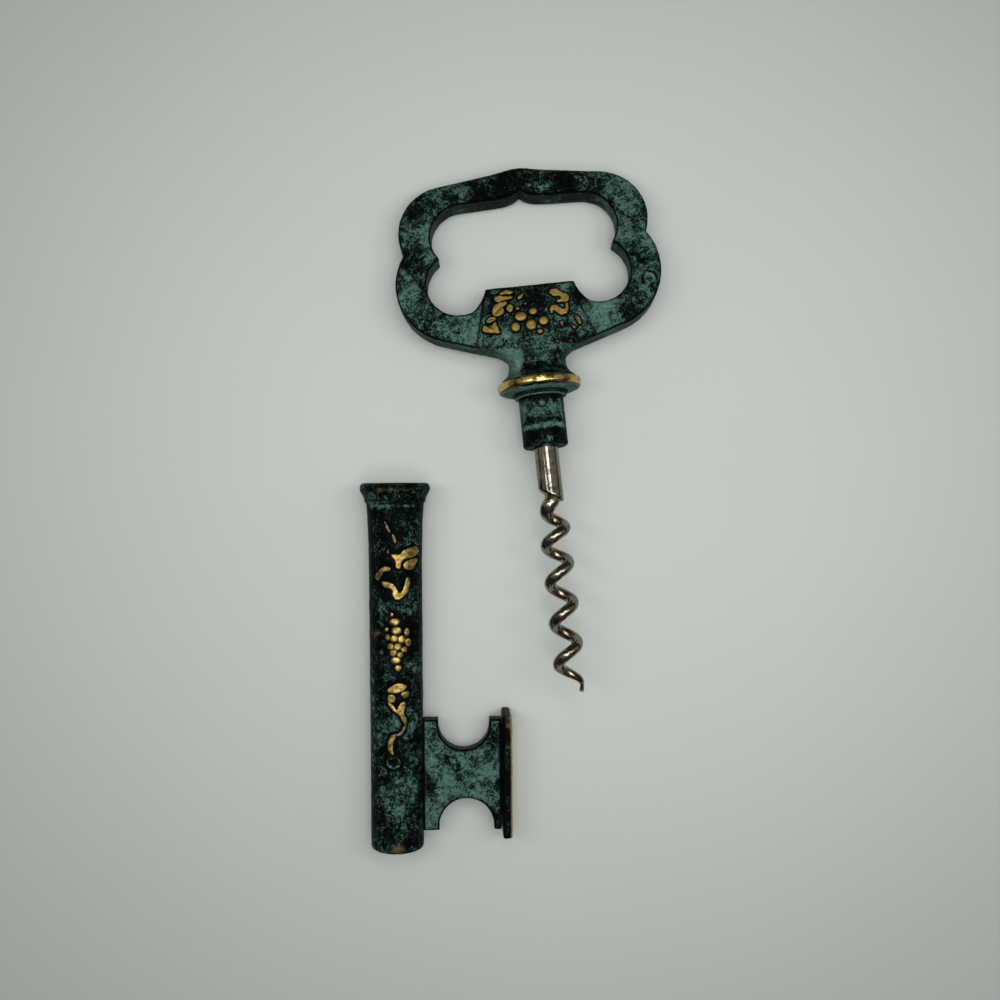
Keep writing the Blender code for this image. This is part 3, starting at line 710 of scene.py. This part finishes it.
FACE = 5.2                  # the shield's face in front of the handle's mid-plane
BOW_VOXEL = 0.32            # cell size of the bow's rebuilt surface
NECK_JOIN = (3.3, 13.5)     # from and to, up the neck, where the solid's hard joins are softened
NECK_REACH = 15.0           # and how far to each side
NECK_ROUNDS = 30
SHIELD_DITCH = 0.42         # width of the sunk ground beside the relief
DITCH_DEPTH = 0.22
STEP_WIDTH = 0.6            # of the lines down the shield's sides
STEP_DEPTH = 0.1
CURL_ON_LOBE = (32.9, 27.3)
CURL_RADIUS = 1.3
CURL_WIDTH = 0.4
CURL_HEIGHT = 0.25
WALL_SHADE_WIDTH = 0.6            # of the painted shade line round the bow's faces, where they turn into its walls
SHIELD_STEPS = [((-12.5, 28.5), (-13.8, 22.0)), ((-13.8, 22.0), (-16.1, 13.2)),
                ((12.2, 28.5), (13.4, 21.0)), ((13.4, 21.0), (16.6, 13.8))]
BOW_SHAPES = loops_of(SHIELD_LEAVES, SHIELD_GRAPES, SHIELD_WORN_SCRAPS)

# Patches of more or less verdigris: place across and up, radius and strength
HANDLE_PATCHES = [
    (-19, 18, 6, 0.5), (19, 20, 6, 0.6), (-7, 8, 4, 0.7), (26, 50, 7, 0.2),
    (-28, 47, 6, 0.25), (-33, 27, 6, 0.2), (3, 12, 4, 0.15), (-4, 57, 12, -0.4), (14, 57, 8, -0.4),
    (-32, 38, 5, -0.4), (0, 25, 5, -0.2), (-26, 21, 5, -0.2), (26, 22, 5, -0.3), (0, 4, 4, -0.4),
    (-26, 55, 5, -0.3), (-8, 13, 1.2, -0.8), (13, 23, 3, -0.5), (-6, 25, 4, -0.2), (3, 22, 2.5, -0.2),
    (-9, 15, 3, 0.3),
]


def build_bow():
    """The bow and its shield, with sunk ground round the relief, and lines down the shield's sides darkened with
    painted shade.
    """
    mesh = recast("bow_casting", "bow_handle", HANDLE, BOW_VOXEL)
    soften(mesh, lambda p: NECK_JOIN[0] < p.z < NECK_JOIN[1] and abs(p.x) < NECK_REACH,
           NECK_ROUNDS)
    points = positions(mesh)
    facing = normals(mesh)
    x, y, z = points.T
    flat = points[:, (0, 2)]
    front = ramp(-y, 3.0, 4.4) * ramp(-facing[:, 1], 0.4, 0.9)
    beside = ditch(flat, BOW_SHAPES, SHIELD_DITCH) * front
    step = np.min([distance_to_span(flat, a, b) for a, b in SHIELD_STEPS], axis=0)
    step = near(step, 0.0, STEP_WIDTH) * ramp(-y, 2.5, 3.5)
    from_curl = np.hypot(x - CURL_ON_LOBE[0], z - CURL_ON_LOBE[1])
    curl = near(from_curl, CURL_RADIUS, CURL_WIDTH) * front
    push = cast_skin(points, BOW_SKIN)
    push += CURL_HEIGHT * curl - DITCH_DEPTH * beside - STEP_DEPTH * step
    field = ramp(30 - z, 0.8, 2.0) * ramp(z, 4, 9) * ramp(16 - np.abs(x), 1.0, 3.0) * front
    push += field * 0.09 * waves(points, 1.3, 3)
    points = points + facing * (push * ramp(z, 2.5, 3.0))[:, None]
    tuck_under_rim(points, z)
    move_to(mesh, points)

    wall = ramp(0.45 - np.abs(facing[:, 1]), 0.0, 0.3)
    beyond_neck = np.maximum(ramp(z, 15, 17), ramp(np.abs(x), 14, 17))
    # Painted shade: a dark line along the faces where they turn into the walls
    edge = beside_walls(points, facing, WALL_SHADE_WIDTH) * (1.0 - wall) * beyond_neck
    # Painted shade in the curl's middle and round its outside
    curl_shade = (near(from_curl, 0.0, 0.5) + near(from_curl, CURL_RADIUS + 0.6, 0.4)) * front
    curl_shade *= ramp(waves(points, 1.5, 8), -0.3, 0.2)
    # The curl's ridge gets extra pale verdigris as a painted highlight
    coat = 0.42 + patches(x, z, HANDLE_PATCHES) - 0.05 * wall - 0.1 * field + 0.4 * curl
    paint(mesh, "verdigris", coat)
    # The steps down the shield's sides are darkened with painted shade, as are the walls' edges and the curl
    paint(mesh, "dark", np.max([beside, 0.9 * edge, 0.55 * step, curl_shade], axis=0))
    add_piece("bow_casting", mesh, HANDLE, "handle", PATINA, ["bow_handle"])


def tuck_under_rim(points, z):
    """Draw the foot of the neck in, so that the polished rim covers it."""
    radius = np.hypot(points[:, 0], points[:, 1])
    covered = np.minimum(1.0, (FLANGE_RADIUS - 0.5) / np.maximum(radius, 0.1))
    points[:, :2] *= np.where(z < 2.9, covered, 1.0)[:, None]
    points[:, 2] = np.where(z < 1.2, np.maximum(points[:, 2], 0.3), points[:, 2])


def on_shield(points, rise):
    """Flat places and their heights, put on the shield's face."""
    return np.stack([points[:, 0], -FACE - rise, points[:, 1]], axis=1)


def build_shield_relief():
    bright = loops_of(SHIELD_LEAVES, SHIELD_GRAPES, [])
    faint = loops_of([], [], SHIELD_WORN_SCRAPS)
    for name, shapes, material in (("shield_relief", bright, DULL_BRASS),
                                   ("shield_scraps", faint, FAINT_RELIEF)):
        mesh = relief_mesh(name, [island(*shape) for shape in shapes], on_shield)
        add_piece(name, mesh, HANDLE, "handle", material)


GROOVE_RADIUS = 9.2         # of the small dark step in the flange's underside


def build_flange():
    """The polished rim, and the patinated underside that steps down to the boss."""
    rim = [(0.0, 2.3), (10.4, 2.6), (10.95, 2.55), (11.3, 2.3), (11.46, 1.9), (FLANGE_RADIUS, 1.3),
           (11.46, 0.7), (11.3, 0.3), (11.0, 0.05), (10.6, -0.02), (8.0, -0.5), (8.0, 0.5), (0.0, 0.5)]
    mesh = lathe("flange_rim", rim, 0.25, 192)
    z = positions(mesh)[:, 2]
    # Painted shade along the rim's lower edge and where it meets the neck
    paint(mesh, "dark", np.maximum(ramp(0.35 - z, 0.0, 0.3), ramp(z, 2.35, 2.6)))
    add_piece("flange_rim", mesh, HANDLE, "handle", POLISHED_BRASS)

    under = [(0.0, 0.4), (10.7, 0.4), (10.7, 0.02), (9.4, -0.28), (GROOVE_RADIUS, -0.45),
             (BOSS_RADIUS + 0.5, -0.75), (BOSS_RADIUS, -0.95), (BOSS_RADIUS, SHOULDER + 0.3),
             (BOSS_RADIUS - 0.3, SHOULDER), (0.0, SHOULDER)]
    mesh = lathe("flange_underside", under, 0.25, 160)
    points = positions(mesh)
    radius = np.hypot(points[:, 0], points[:, 1])
    groove = 0.4 * near(radius, GROOVE_RADIUS, 0.3) + near(radius, BOSS_RADIUS + 0.2, 0.35)
    push_out(mesh, cast_skin(points, FLANGE_SKIN))
    paint(mesh, "verdigris", 1.1 + 0.15 * waves(points, 6.0, 5))
    paint(mesh, "dark", 0.8 * groove)
    add_piece("flange_underside", mesh, HANDLE, "handle", PATINA)


SPIGOT_END = SHOULDER - SPIGOT_LENGTH
SOCKET_DEPTH = 2.0          # of the hole that the shank fills
PIN_DROP = 2.2              # below the shoulder
PIN_GROOVE = 1.25           # radius of the line round the pin's end
STRIPE_DROP = 8.6           # of the pale stripe across the front
STRIPE_WIDTH = 0.9


def build_spigot():
    profile = [(0.0, SHOULDER + 0.5), (SPIGOT_RADIUS - 0.3, SHOULDER + 0.5),
               (SPIGOT_RADIUS, SHOULDER - 0.3), (SPIGOT_RADIUS, SPIGOT_END + 0.4),
               (SPIGOT_RADIUS - 0.4, SPIGOT_END), (SHANK_RADIUS - 0.4, SPIGOT_END),
               (SHANK_RADIUS - 0.4, SPIGOT_END + SOCKET_DEPTH), (0.0, SPIGOT_END + SOCKET_DEPTH)]
    mesh = lathe("spigot_casting", profile, 0.3, 144)
    points = positions(mesh)
    x, y, z = points.T
    drop = SHOULDER - z
    from_pin = np.hypot(x, drop - PIN_DROP) + np.where(y > 0, 9.0, 0.0)
    push_out(mesh, cast_skin(points, SPIGOT_SKIN) - 0.25 * near(from_pin, PIN_GROOVE, 0.25))
    stripe = near(drop, STRIPE_DROP, STRIPE_WIDTH) * ramp(-y, 0.0, 3.0)
    band = ramp(drop, 1.0, 1.8) * ramp(7.0 - drop, 0.0, 1.2) * ramp(-y, -3.0, 3.0)
    paint(mesh, "verdigris", 0.02 + 0.42 * band + 1.05 * stripe + 0.1 * waves(points, 4.0, 7))
    # A dark line round the pin's end, and painted shade at the root under the flange
    paint(mesh, "dark", 0.7 * near(from_pin, PIN_GROOVE, 0.3) + 0.8 * ramp(1.2 - drop, 0.0, 0.8))
    add_piece("spigot_casting", mesh, HANDLE, "handle", PATINA,
              ["spigot", "worm_pin"])


SHANK_END = SPIGOT_END - SHANK_LENGTH
SHANK_SWEEP = 6.0           # length at the shank's end over which the slant comes in
COIL_INSIDE = 5.5           # the wire starts this far up inside the shank
COIL_SWING = 14.0           # length over which it swings out to the coil's radius
COIL_LAG = 3.5              # how far behind its drop the coil's turning is
COIL_EARLY_LAG = 2.6        # more of the same at its start, fading over COIL_SETTLE
COIL_SETTLE = 22.0
ROOT_SWELL = 0.75           # extra thickness at its start, fading over ROOT_LENGTH
ROOT_LENGTH = 11.0
HOOK_LENGTH = 3.4           # at the tip, where the wire turns less and less
HOOK_SLOWING = 9.0          # smaller for less turning
POINT_LENGTH = 8.0          # over which the wire tapers
POINT_BLUNT = 0.38          # of the wire's radius, at the tip
COIL_STEPS = 360
COIL_SIDES = 28


def build_shank():
    """The shank ends on a slant, where it runs out into the wire."""
    profile = [(0.0, SPIGOT_END + 3.0), (SHANK_RADIUS, SPIGOT_END + 3.0),
               (SHANK_RADIUS, SHANK_END + 1.0), (SHANK_RADIUS - 0.25, SHANK_END + 0.35),
               (SHANK_RADIUS - 0.9, SHANK_END), (0.0, SHANK_END)]
    mesh = lathe("shank", profile, 0.35, 96)
    points = positions(mesh)
    low = ramp(SHANK_END + SHANK_SWEEP - points[:, 2], 0.0, SHANK_SWEEP)
    points[:, 2] += low * (SHANK_SLANT * (SHANK_RADIUS - points[:, 0]) - 0.8)
    move_to(mesh, points)
    paint(mesh, "dark", np.full(len(points), 0.08))
    add_piece("worm_shank", mesh, HANDLE, "handle", NICKEL_STEEL)


def coil_line(start):
    """The wire's centre line and its radius at each place, from inside the shank to the tip."""
    length = WORM_COIL + COIL_INSIDE
    centres = []
    radii = []
    for i in range(COIL_STEPS + 1):
        drop = length * i / COIL_STEPS
        reach = (WORM_RADIUS - WIRE_RADIUS) * float(ramp(drop, 0.0, COIL_SWING))
        hooked = max(0.0, drop - (length - HOOK_LENGTH))
        lag = COIL_LAG + COIL_EARLY_LAG * max(0.0, 1.0 - drop / COIL_SETTLE)
        lag += hooked * hooked / HOOK_SLOWING
        angle = -math.pi / 2 - math.tau * (drop - lag) / WORM_PITCH
        centres.append(Vector((reach * math.cos(angle), reach * math.sin(angle), start - drop)))
        thick = 1.0 + ROOT_SWELL * max(0.0, 1.0 - drop / ROOT_LENGTH)
        left = min(1.0, (length - drop) / POINT_LENGTH)
        radii.append(WIRE_RADIUS * thick * max(POINT_BLUNT, 1.0 - (1.0 - left) ** 1.8))
    return centres, radii


def wire_mesh(name, centres, radii, sides):
    """A round wire along a line, with flat ends."""
    upright = Vector((0.0, 0.0, 1.0))
    last = len(centres) - 1
    vertices = []
    faces = []
    for i, centre in enumerate(centres):
        ahead = (centres[min(i + 1, last)] - centres[max(i - 1, 0)]).normalized()
        side = ahead.cross(upright.cross(ahead) if abs(ahead.z) < 0.99 else Vector((1.0, 0.0, 0.0)))
        side.normalize()
        other = ahead.cross(side)
        for j in range(sides):
            turn = math.tau * j / sides
            vertices.append(centre + (side * math.cos(turn) + other * math.sin(turn)) * radii[i])
    for i in range(last):
        for j in range(sides):
            k = (j + 1) % sides
            faces.append((i * sides + j, i * sides + k, (i + 1) * sides + k, (i + 1) * sides + j))
    faces.append(tuple(range(sides - 1, -1, -1)))
    faces.append(tuple(last * sides + j for j in range(sides)))
    return mesh_from(name, vertices, faces)


def build_coil():
    start = SHANK_END + COIL_INSIDE
    mesh = wire_mesh("worm_coil", *coil_line(start), COIL_SIDES)
    drop = start - positions(mesh)[:, 2]
    paint(mesh, "dark", ramp(drop, 5.0, 12.0) * 0.05)
    add_piece("worm_coil", mesh, HANDLE, "handle", NICKEL_STEEL, ["worm"])


# --- Sheath ------------------------------------------------------------------------------

SHEATH_SWELL = 0.15         # added to the half-widths of the sheath's grapes
SHEATH_SHAPES = loops_of(SHEATH_LEAVES, SHEATH_GRAPES, SHEATH_SCRAPS, SHEATH_SWELL)
SHEATH_DITCH = 0.6
SHEATH_BARE = 1.6           # width of the darker ground round the relief
TENDRIL_CURL = (-0.6, -76.0)
TENDRIL_RADIUS = 1.7
REACH = 7.5                 # the radius that the relief's places across are measured on
SHEATH_PATCHES = [
    (1.0, -84, 5.5, 0.4), (1.0, -92, 3.0, 0.2), (-5, -66, 4.0, 0.35), (5, -66, 4.0, 0.25),
    (-4, -33, 4.0, 0.35), (5, -36, 4.0, 0.25), (6, -50, 4.0, 0.2), (-4, -52, 4.0, 0.15),
    (-8, -90, 5.0, -0.35), (6, -92, 3.0, -0.2), (0, -12, 8.0, -0.1), (0, -76, 2.6, -0.4),
]
# Spots rubbed to copper, in the same form
SHEATH_RUBS = [(0.4, -SHEATH_LENGTH + 1.7, 1.9, 0.44), (-6.5, -41.0, 2.2, 0.3)]


def tube_radius(z):
    """The tube's outer radius, which flares towards the mouth."""
    below = np.maximum(0.0, -np.asarray(z, float) - COLLAR_HEIGHT)
    return SHEATH_RADIUS + SHEATH_FLARE * np.exp(-below / FLARE_LENGTH)


def on_tube(points, rise):
    """Flat places and their heights, bent round the tube."""
    radius = tube_radius(points[:, 1]) + rise
    turn = points[:, 0] / REACH
    return np.stack([radius * np.sin(turn), -radius * np.cos(turn), points[:, 1]], axis=1)


def build_tube():
    depths = (0.0, COLLAR_HEIGHT, 8.0, 10.0, 13.0, 17.0, 22.0, 28.0)
    outer = [(float(tube_radius(-depth)), -depth) for depth in depths]
    profile = [(BORE_RADIUS + 0.3, 0.0)] + outer + [
        (SHEATH_RADIUS, -SHEATH_LENGTH + 0.9), (SHEATH_RADIUS - 0.2, -SHEATH_LENGTH + 0.35),
        (SHEATH_RADIUS - 0.7, -SHEATH_LENGTH), (BORE_RADIUS, -SHEATH_LENGTH), (BORE_RADIUS, -0.4)]
    mesh = lathe("tube", profile + profile[:1], 0.45, 150)
    points = positions(mesh)
    x, y, z = points.T
    outside = ramp(np.hypot(x, y), BORE_RADIUS + 0.2, BORE_RADIUS + 0.5)
    across = np.arctan2(x, -y) * REACH
    flat = np.stack([across, z], axis=1)
    beside = ditch(flat, SHEATH_SHAPES, SHEATH_DITCH) * outside
    around = ditch(flat, SHEATH_SHAPES, SHEATH_BARE)
    from_curl = np.hypot(across - TENDRIL_CURL[0], (z - TENDRIL_CURL[1]) * 1.2)
    curl_ridge = near(from_curl, TENDRIL_RADIUS, 0.4) * outside
    curl_shade_ring = near(from_curl, TENDRIL_RADIUS + 0.9, 0.5) * outside
    push = cast_skin(points, TUBE_SKIN) * outside
    push += 0.3 * curl_ridge - DITCH_DEPTH * beside - 0.2 * near(from_curl, 0.0, 0.8) * outside
    push_out(mesh, push * ramp(-z, 5.0, 8.0))
    under_collar = near(z, -COLLAR_HEIGHT - 0.6, 0.4) * ramp(-y, 2.0, 6.0)
    coat = -0.18 + 0.36 * ramp(-z, 20, 60) + patches(across, z, SHEATH_PATCHES) - 0.15 * around
    # The curl's ridge gets extra pale verdigris as a painted highlight; its middle and outer edge get painted
    # shade
    paint(mesh, "verdigris", coat + 0.9 * under_collar + 0.7 * curl_ridge)
    paint(mesh, "dark", np.max([beside, 0.8 * near(from_curl, 0.0, 1.3), curl_shade_ring], axis=0))
    paint(mesh, "brass", patches(across, z, SHEATH_RUBS))
    add_piece("sheath_casting", mesh, SHEATH, "sheath", PATINA, ["sheath_tube"])


def build_sheath_relief():
    bright = loops_of(SHEATH_LEAVES, SHEATH_GRAPES, [], SHEATH_SWELL)
    faint = loops_of([], [], SHEATH_SCRAPS)
    for name, shapes, material in (("sheath_relief", bright, RUBBED_BRASS),
                                   ("sheath_scraps", faint, FAINT_RELIEF)):
        mesh = relief_mesh(name, [island(*shape) for shape in shapes], on_tube)
        add_piece(name, mesh, SHEATH, "sheath", material)


PLUG_LENGTH = 6.0
PLUG_GAP = 0.05             # between the plug and the bore


def build_plug():
    radius = BORE_RADIUS - PLUG_GAP
    profile = [(0.0, PLUG_LENGTH - SHEATH_LENGTH), (radius, PLUG_LENGTH - SHEATH_LENGTH),
               (radius, 0.3 - SHEATH_LENGTH), (radius - 0.35, 0.02 - SHEATH_LENGTH),
               (0.0, 0.25 - SHEATH_LENGTH)]
    mesh = lathe("plug", profile, 0.4, 96)
    points = positions(mesh)
    push_out(mesh, cast_skin(points, PLUG_SKIN))
    paint(mesh, "verdigris", 0.3 + 0.1 * waves(points, 4.0, 14))
    from_axis = np.hypot(points[:, 0], points[:, 1])
    paint(mesh, "dark", ramp(from_axis, BORE_RADIUS - 0.7, BORE_RADIUS - 0.1))
    add_piece("plug_casting", mesh, SHEATH, "sheath", PATINA, ["sheath_end_plug"])


def build_collar():
    """The ring at the mouth, thickest a little below its face."""
    inner = float(tube_radius(0.0)) + 0.06
    outer = COLLAR_RADIUS
    profile = [(inner, 0.0), (outer - 1.1, 0.0), (outer - 0.45, -0.25), (outer - 0.1, -0.9),
               (outer, -1.6), (outer - 0.12, -2.3), (outer - 0.55, -3.0), (outer - 1.1, -3.9),
               (inner + 0.35, -COLLAR_HEIGHT + 0.35), (inner + 0.1, -COLLAR_HEIGHT),
               (inner, -COLLAR_HEIGHT)]
    mesh = lathe("collar", profile + profile[:1], 0.3, 160)
    points = positions(mesh)
    x, y, z = points.T
    outside = ramp(np.hypot(x, y), inner + 0.1, inner + 0.5)
    push_out(mesh, outside * cast_skin(points, COLLAR_SKIN))
    paint(mesh, "verdigris", 0.25 * ramp(-x, 1.0, 6.0))
    # Painted shade in the hollow under the ring's bulge
    paint(mesh, "dark", 0.5 * near(z, -4.6, 0.6))
    paint(mesh, "brass", 0.26 * ramp(-y, 4.0, 9.0) * near(z, -1.9, 1.0))
    add_piece("collar_casting", mesh, SHEATH, "collar", PATINA, ["sheath_collar"])


BIT_VOXEL = 0.2             # cell size of the bit's and the plate's rebuilt surfaces
BIT_PATCHES = [
    (26, -68, 4.5, -0.4), (9, -84, 2.5, -0.35), (18, -81, 2.6, -0.3), (20, -84, 2.0, -0.25),
    (24, -86, 4.0, 0.15), (12, -90, 4.0, 0.25), (27, -94, 2.5, -0.4), (11, -72, 3.0, -0.1),
]


def build_bit():
    mesh = recast("bit_casting", "key_bit", SHEATH, BIT_VOXEL)
    points = positions(mesh)
    facing = normals(mesh)
    x, _, z = points.T
    push_out(mesh, cast_skin(points, BIT_SKIN))
    wall = ramp(0.5 - np.abs(facing[:, 1]), 0.0, 0.3)
    # Painted shade: a dark line along the faces where they turn into the walls
    edge = beside_walls(points, facing, 0.75) * (1.0 - wall)
    paint(mesh, "verdigris", 0.56 + patches(x, z, BIT_PATCHES) - 0.45 * wall)
    paint(mesh, "dark", 0.9 * edge)
    paint(mesh, "brass", 0.2 * wall * ramp(z, -80.0, -76.0))
    add_piece("bit_casting", mesh, SHEATH, "sheath", PATINA, ["key_bit"])


HAMMERED_FROM = 30.4        # from the sheath's axis, where the plate's outer part begins
PLATE_CORNER = -66.0        # of the rubbed corner, up from the mouth
PLATE_SINK = 0.12           # draws the outer face in, to make room for its hammering


def build_plate():
    """Painted shade where it meets the bit, and rubbed to brass on its outer face."""
    mesh = recast("plate_casting", "bit_face_plate", SHEATH, BIT_VOXEL)
    points = positions(mesh)
    x, _, z = points.T
    out = x - HAMMERED_FROM
    outer = ramp(out, 0.0, 1.0)
    hammered = cast_skin(points, PLATE_SKIN) + outer * cast_skin(points, PLATE_HAMMERING)
    push_out(mesh, hammered - PLATE_SINK * outer)
    corner = near(z, PLATE_CORNER, 2.5) * ramp(out, -1.0, 0.6)
    paint(mesh, "verdigris", np.full(len(points), 0.05))
    # Painted shade over the inner part, where the plate meets the bit
    paint(mesh, "dark", ramp(0.2 - out, 0.0, 0.8) * 0.6)
    paint(mesh, "brass", 0.78 * ramp(out, 0.8, 1.3) + 0.35 * corner)
    add_piece("plate_casting", mesh, SHEATH, "sheath", PATINA, ["bit_face_plate"])


build_bow()
build_shield_relief()
build_flange()
build_spigot()
build_shank()
build_coil()
build_tube()
build_sheath_relief()
build_plug()
build_collar()
build_bit()
build_plate()


# --- Table, light and camera -------------------------------------------------------------

TABLE_HALF = 2.0
TABLE_DROP = 0.05 * MM      # below the lowest point of the object
PAINTED_LIGHT_MIDDLE = (0.02, 0.03, 0.0)
PAINTED_FALLOFF = (0.04, 0.26)   # distances, in metres, over which a painted falloff of light darkens it


def build_floor():
    corners = [(x * TABLE_HALF, y * TABLE_HALF, 0.0) for x, y in ((-1, -1), (1, -1), (1, 1), (-1, 1))]
    mesh = mesh_from("table", corners, [(0, 1, 2, 3)])
    floor = bpy.data.objects.new("table", mesh)
    bpy.context.scene.collection.objects.link(floor)
    floor.location.z = CAD_BOX[0][2] - TABLE_DROP
    g = Graph("table_top")
    # Painted light: the table is lightest round its middle and darkens away from it
    away = g.add("ShaderNodeVectorMath", {0: g.place, 1: PAINTED_LIGHT_MIDDLE}, operation="DISTANCE")
    colour = g.mix(g.noise(60.0, 2.0, 0.5), TABLE_COOL, TABLE_WARM)
    colour = g.mix(g.between(away.outputs["Value"], *PAINTED_FALLOFF), colour, TABLE_PAINTED_DIM)
    mesh.materials.append(g.finish(Base_Color=colour, Roughness=0.75, Metallic=0.0))


def area_light(name, place, size, watts):
    """A rectangular lamp that faces the middle of the table."""
    light = bpy.data.lights.new(name, "AREA")
    light.shape = "RECTANGLE"
    light.size, light.size_y = size
    light.energy = watts
    lamp = bpy.data.objects.new(name, light)
    lamp.location = place
    lamp.rotation_euler = (-Vector(place)).to_track_quat("-Z", "Y").to_euler()
    bpy.context.scene.collection.objects.link(lamp)


LAMP_CENTRE = (0.012, 0.018)
LAMP_HEIGHT = 0.38
LAMP_HOLE = 0.07            # half the width of the open middle of the lamp
LAMP_REACH = 0.15           # half the width of the whole lamp
LAMP_POWER = 18.5           # watts to the square metre
WINDOW_PLACE = (0.6, 0.15, 0.6)
WINDOW_SIZE = (0.7, 1.1)
WINDOW_POWER = 0.75         # in watts, as is the ceiling's
CEILING_PLACE = (0.05, 0.0, 1.3)
CEILING_SIZE = (2.8, 2.4)
CEILING_POWER = 3.0
ROOM_STRENGTH = 0.07


def build_light():
    """A low square lamp round the line of sight, a window at each side, a faint ceiling and a dim room."""
    x, y = LAMP_CENTRE
    band = LAMP_REACH - LAMP_HOLE
    middle = (LAMP_REACH + LAMP_HOLE) / 2
    side_size = (band, 2 * LAMP_REACH)
    end_size = (2 * LAMP_HOLE, band)
    across, back, up = WINDOW_PLACE
    for side in (-1, 1):
        area_light("lamp_side", (x + side * middle, y, LAMP_HEIGHT), side_size,
                   LAMP_POWER * math.prod(side_size))
        area_light("lamp_end", (x, y + side * middle, LAMP_HEIGHT), end_size,
                   LAMP_POWER * math.prod(end_size))
        area_light("window", (side * across, back, up), WINDOW_SIZE, WINDOW_POWER)
    area_light("ceiling", CEILING_PLACE, CEILING_SIZE, CEILING_POWER)
    world = bpy.data.worlds.new("room")
    world.use_nodes = True
    background = world.node_tree.nodes["Background"]
    background.inputs["Color"].default_value = ROOM
    background.inputs["Strength"].default_value = ROOM_STRENGTH
    bpy.context.scene.world = world
    bpy.context.scene.view_settings.view_transform = "Standard"


CAMERA_PLACE = (-0.0029, 0.0022, 0.328)
CAMERA_LENS = 41.4
SENSOR_WIDTH = 36.0


def build_camera():
    """A camera over the table that looks straight down."""
    camera = bpy.data.cameras.new("camera")
    camera.lens = CAMERA_LENS
    camera.sensor_width = SENSOR_WIDTH
    camera.clip_start = 0.01
    view = bpy.data.objects.new("camera", camera)
    view.location = CAMERA_PLACE
    bpy.context.scene.collection.objects.link(view)
    bpy.context.scene.camera = view


build_floor()
build_light()
build_camera()
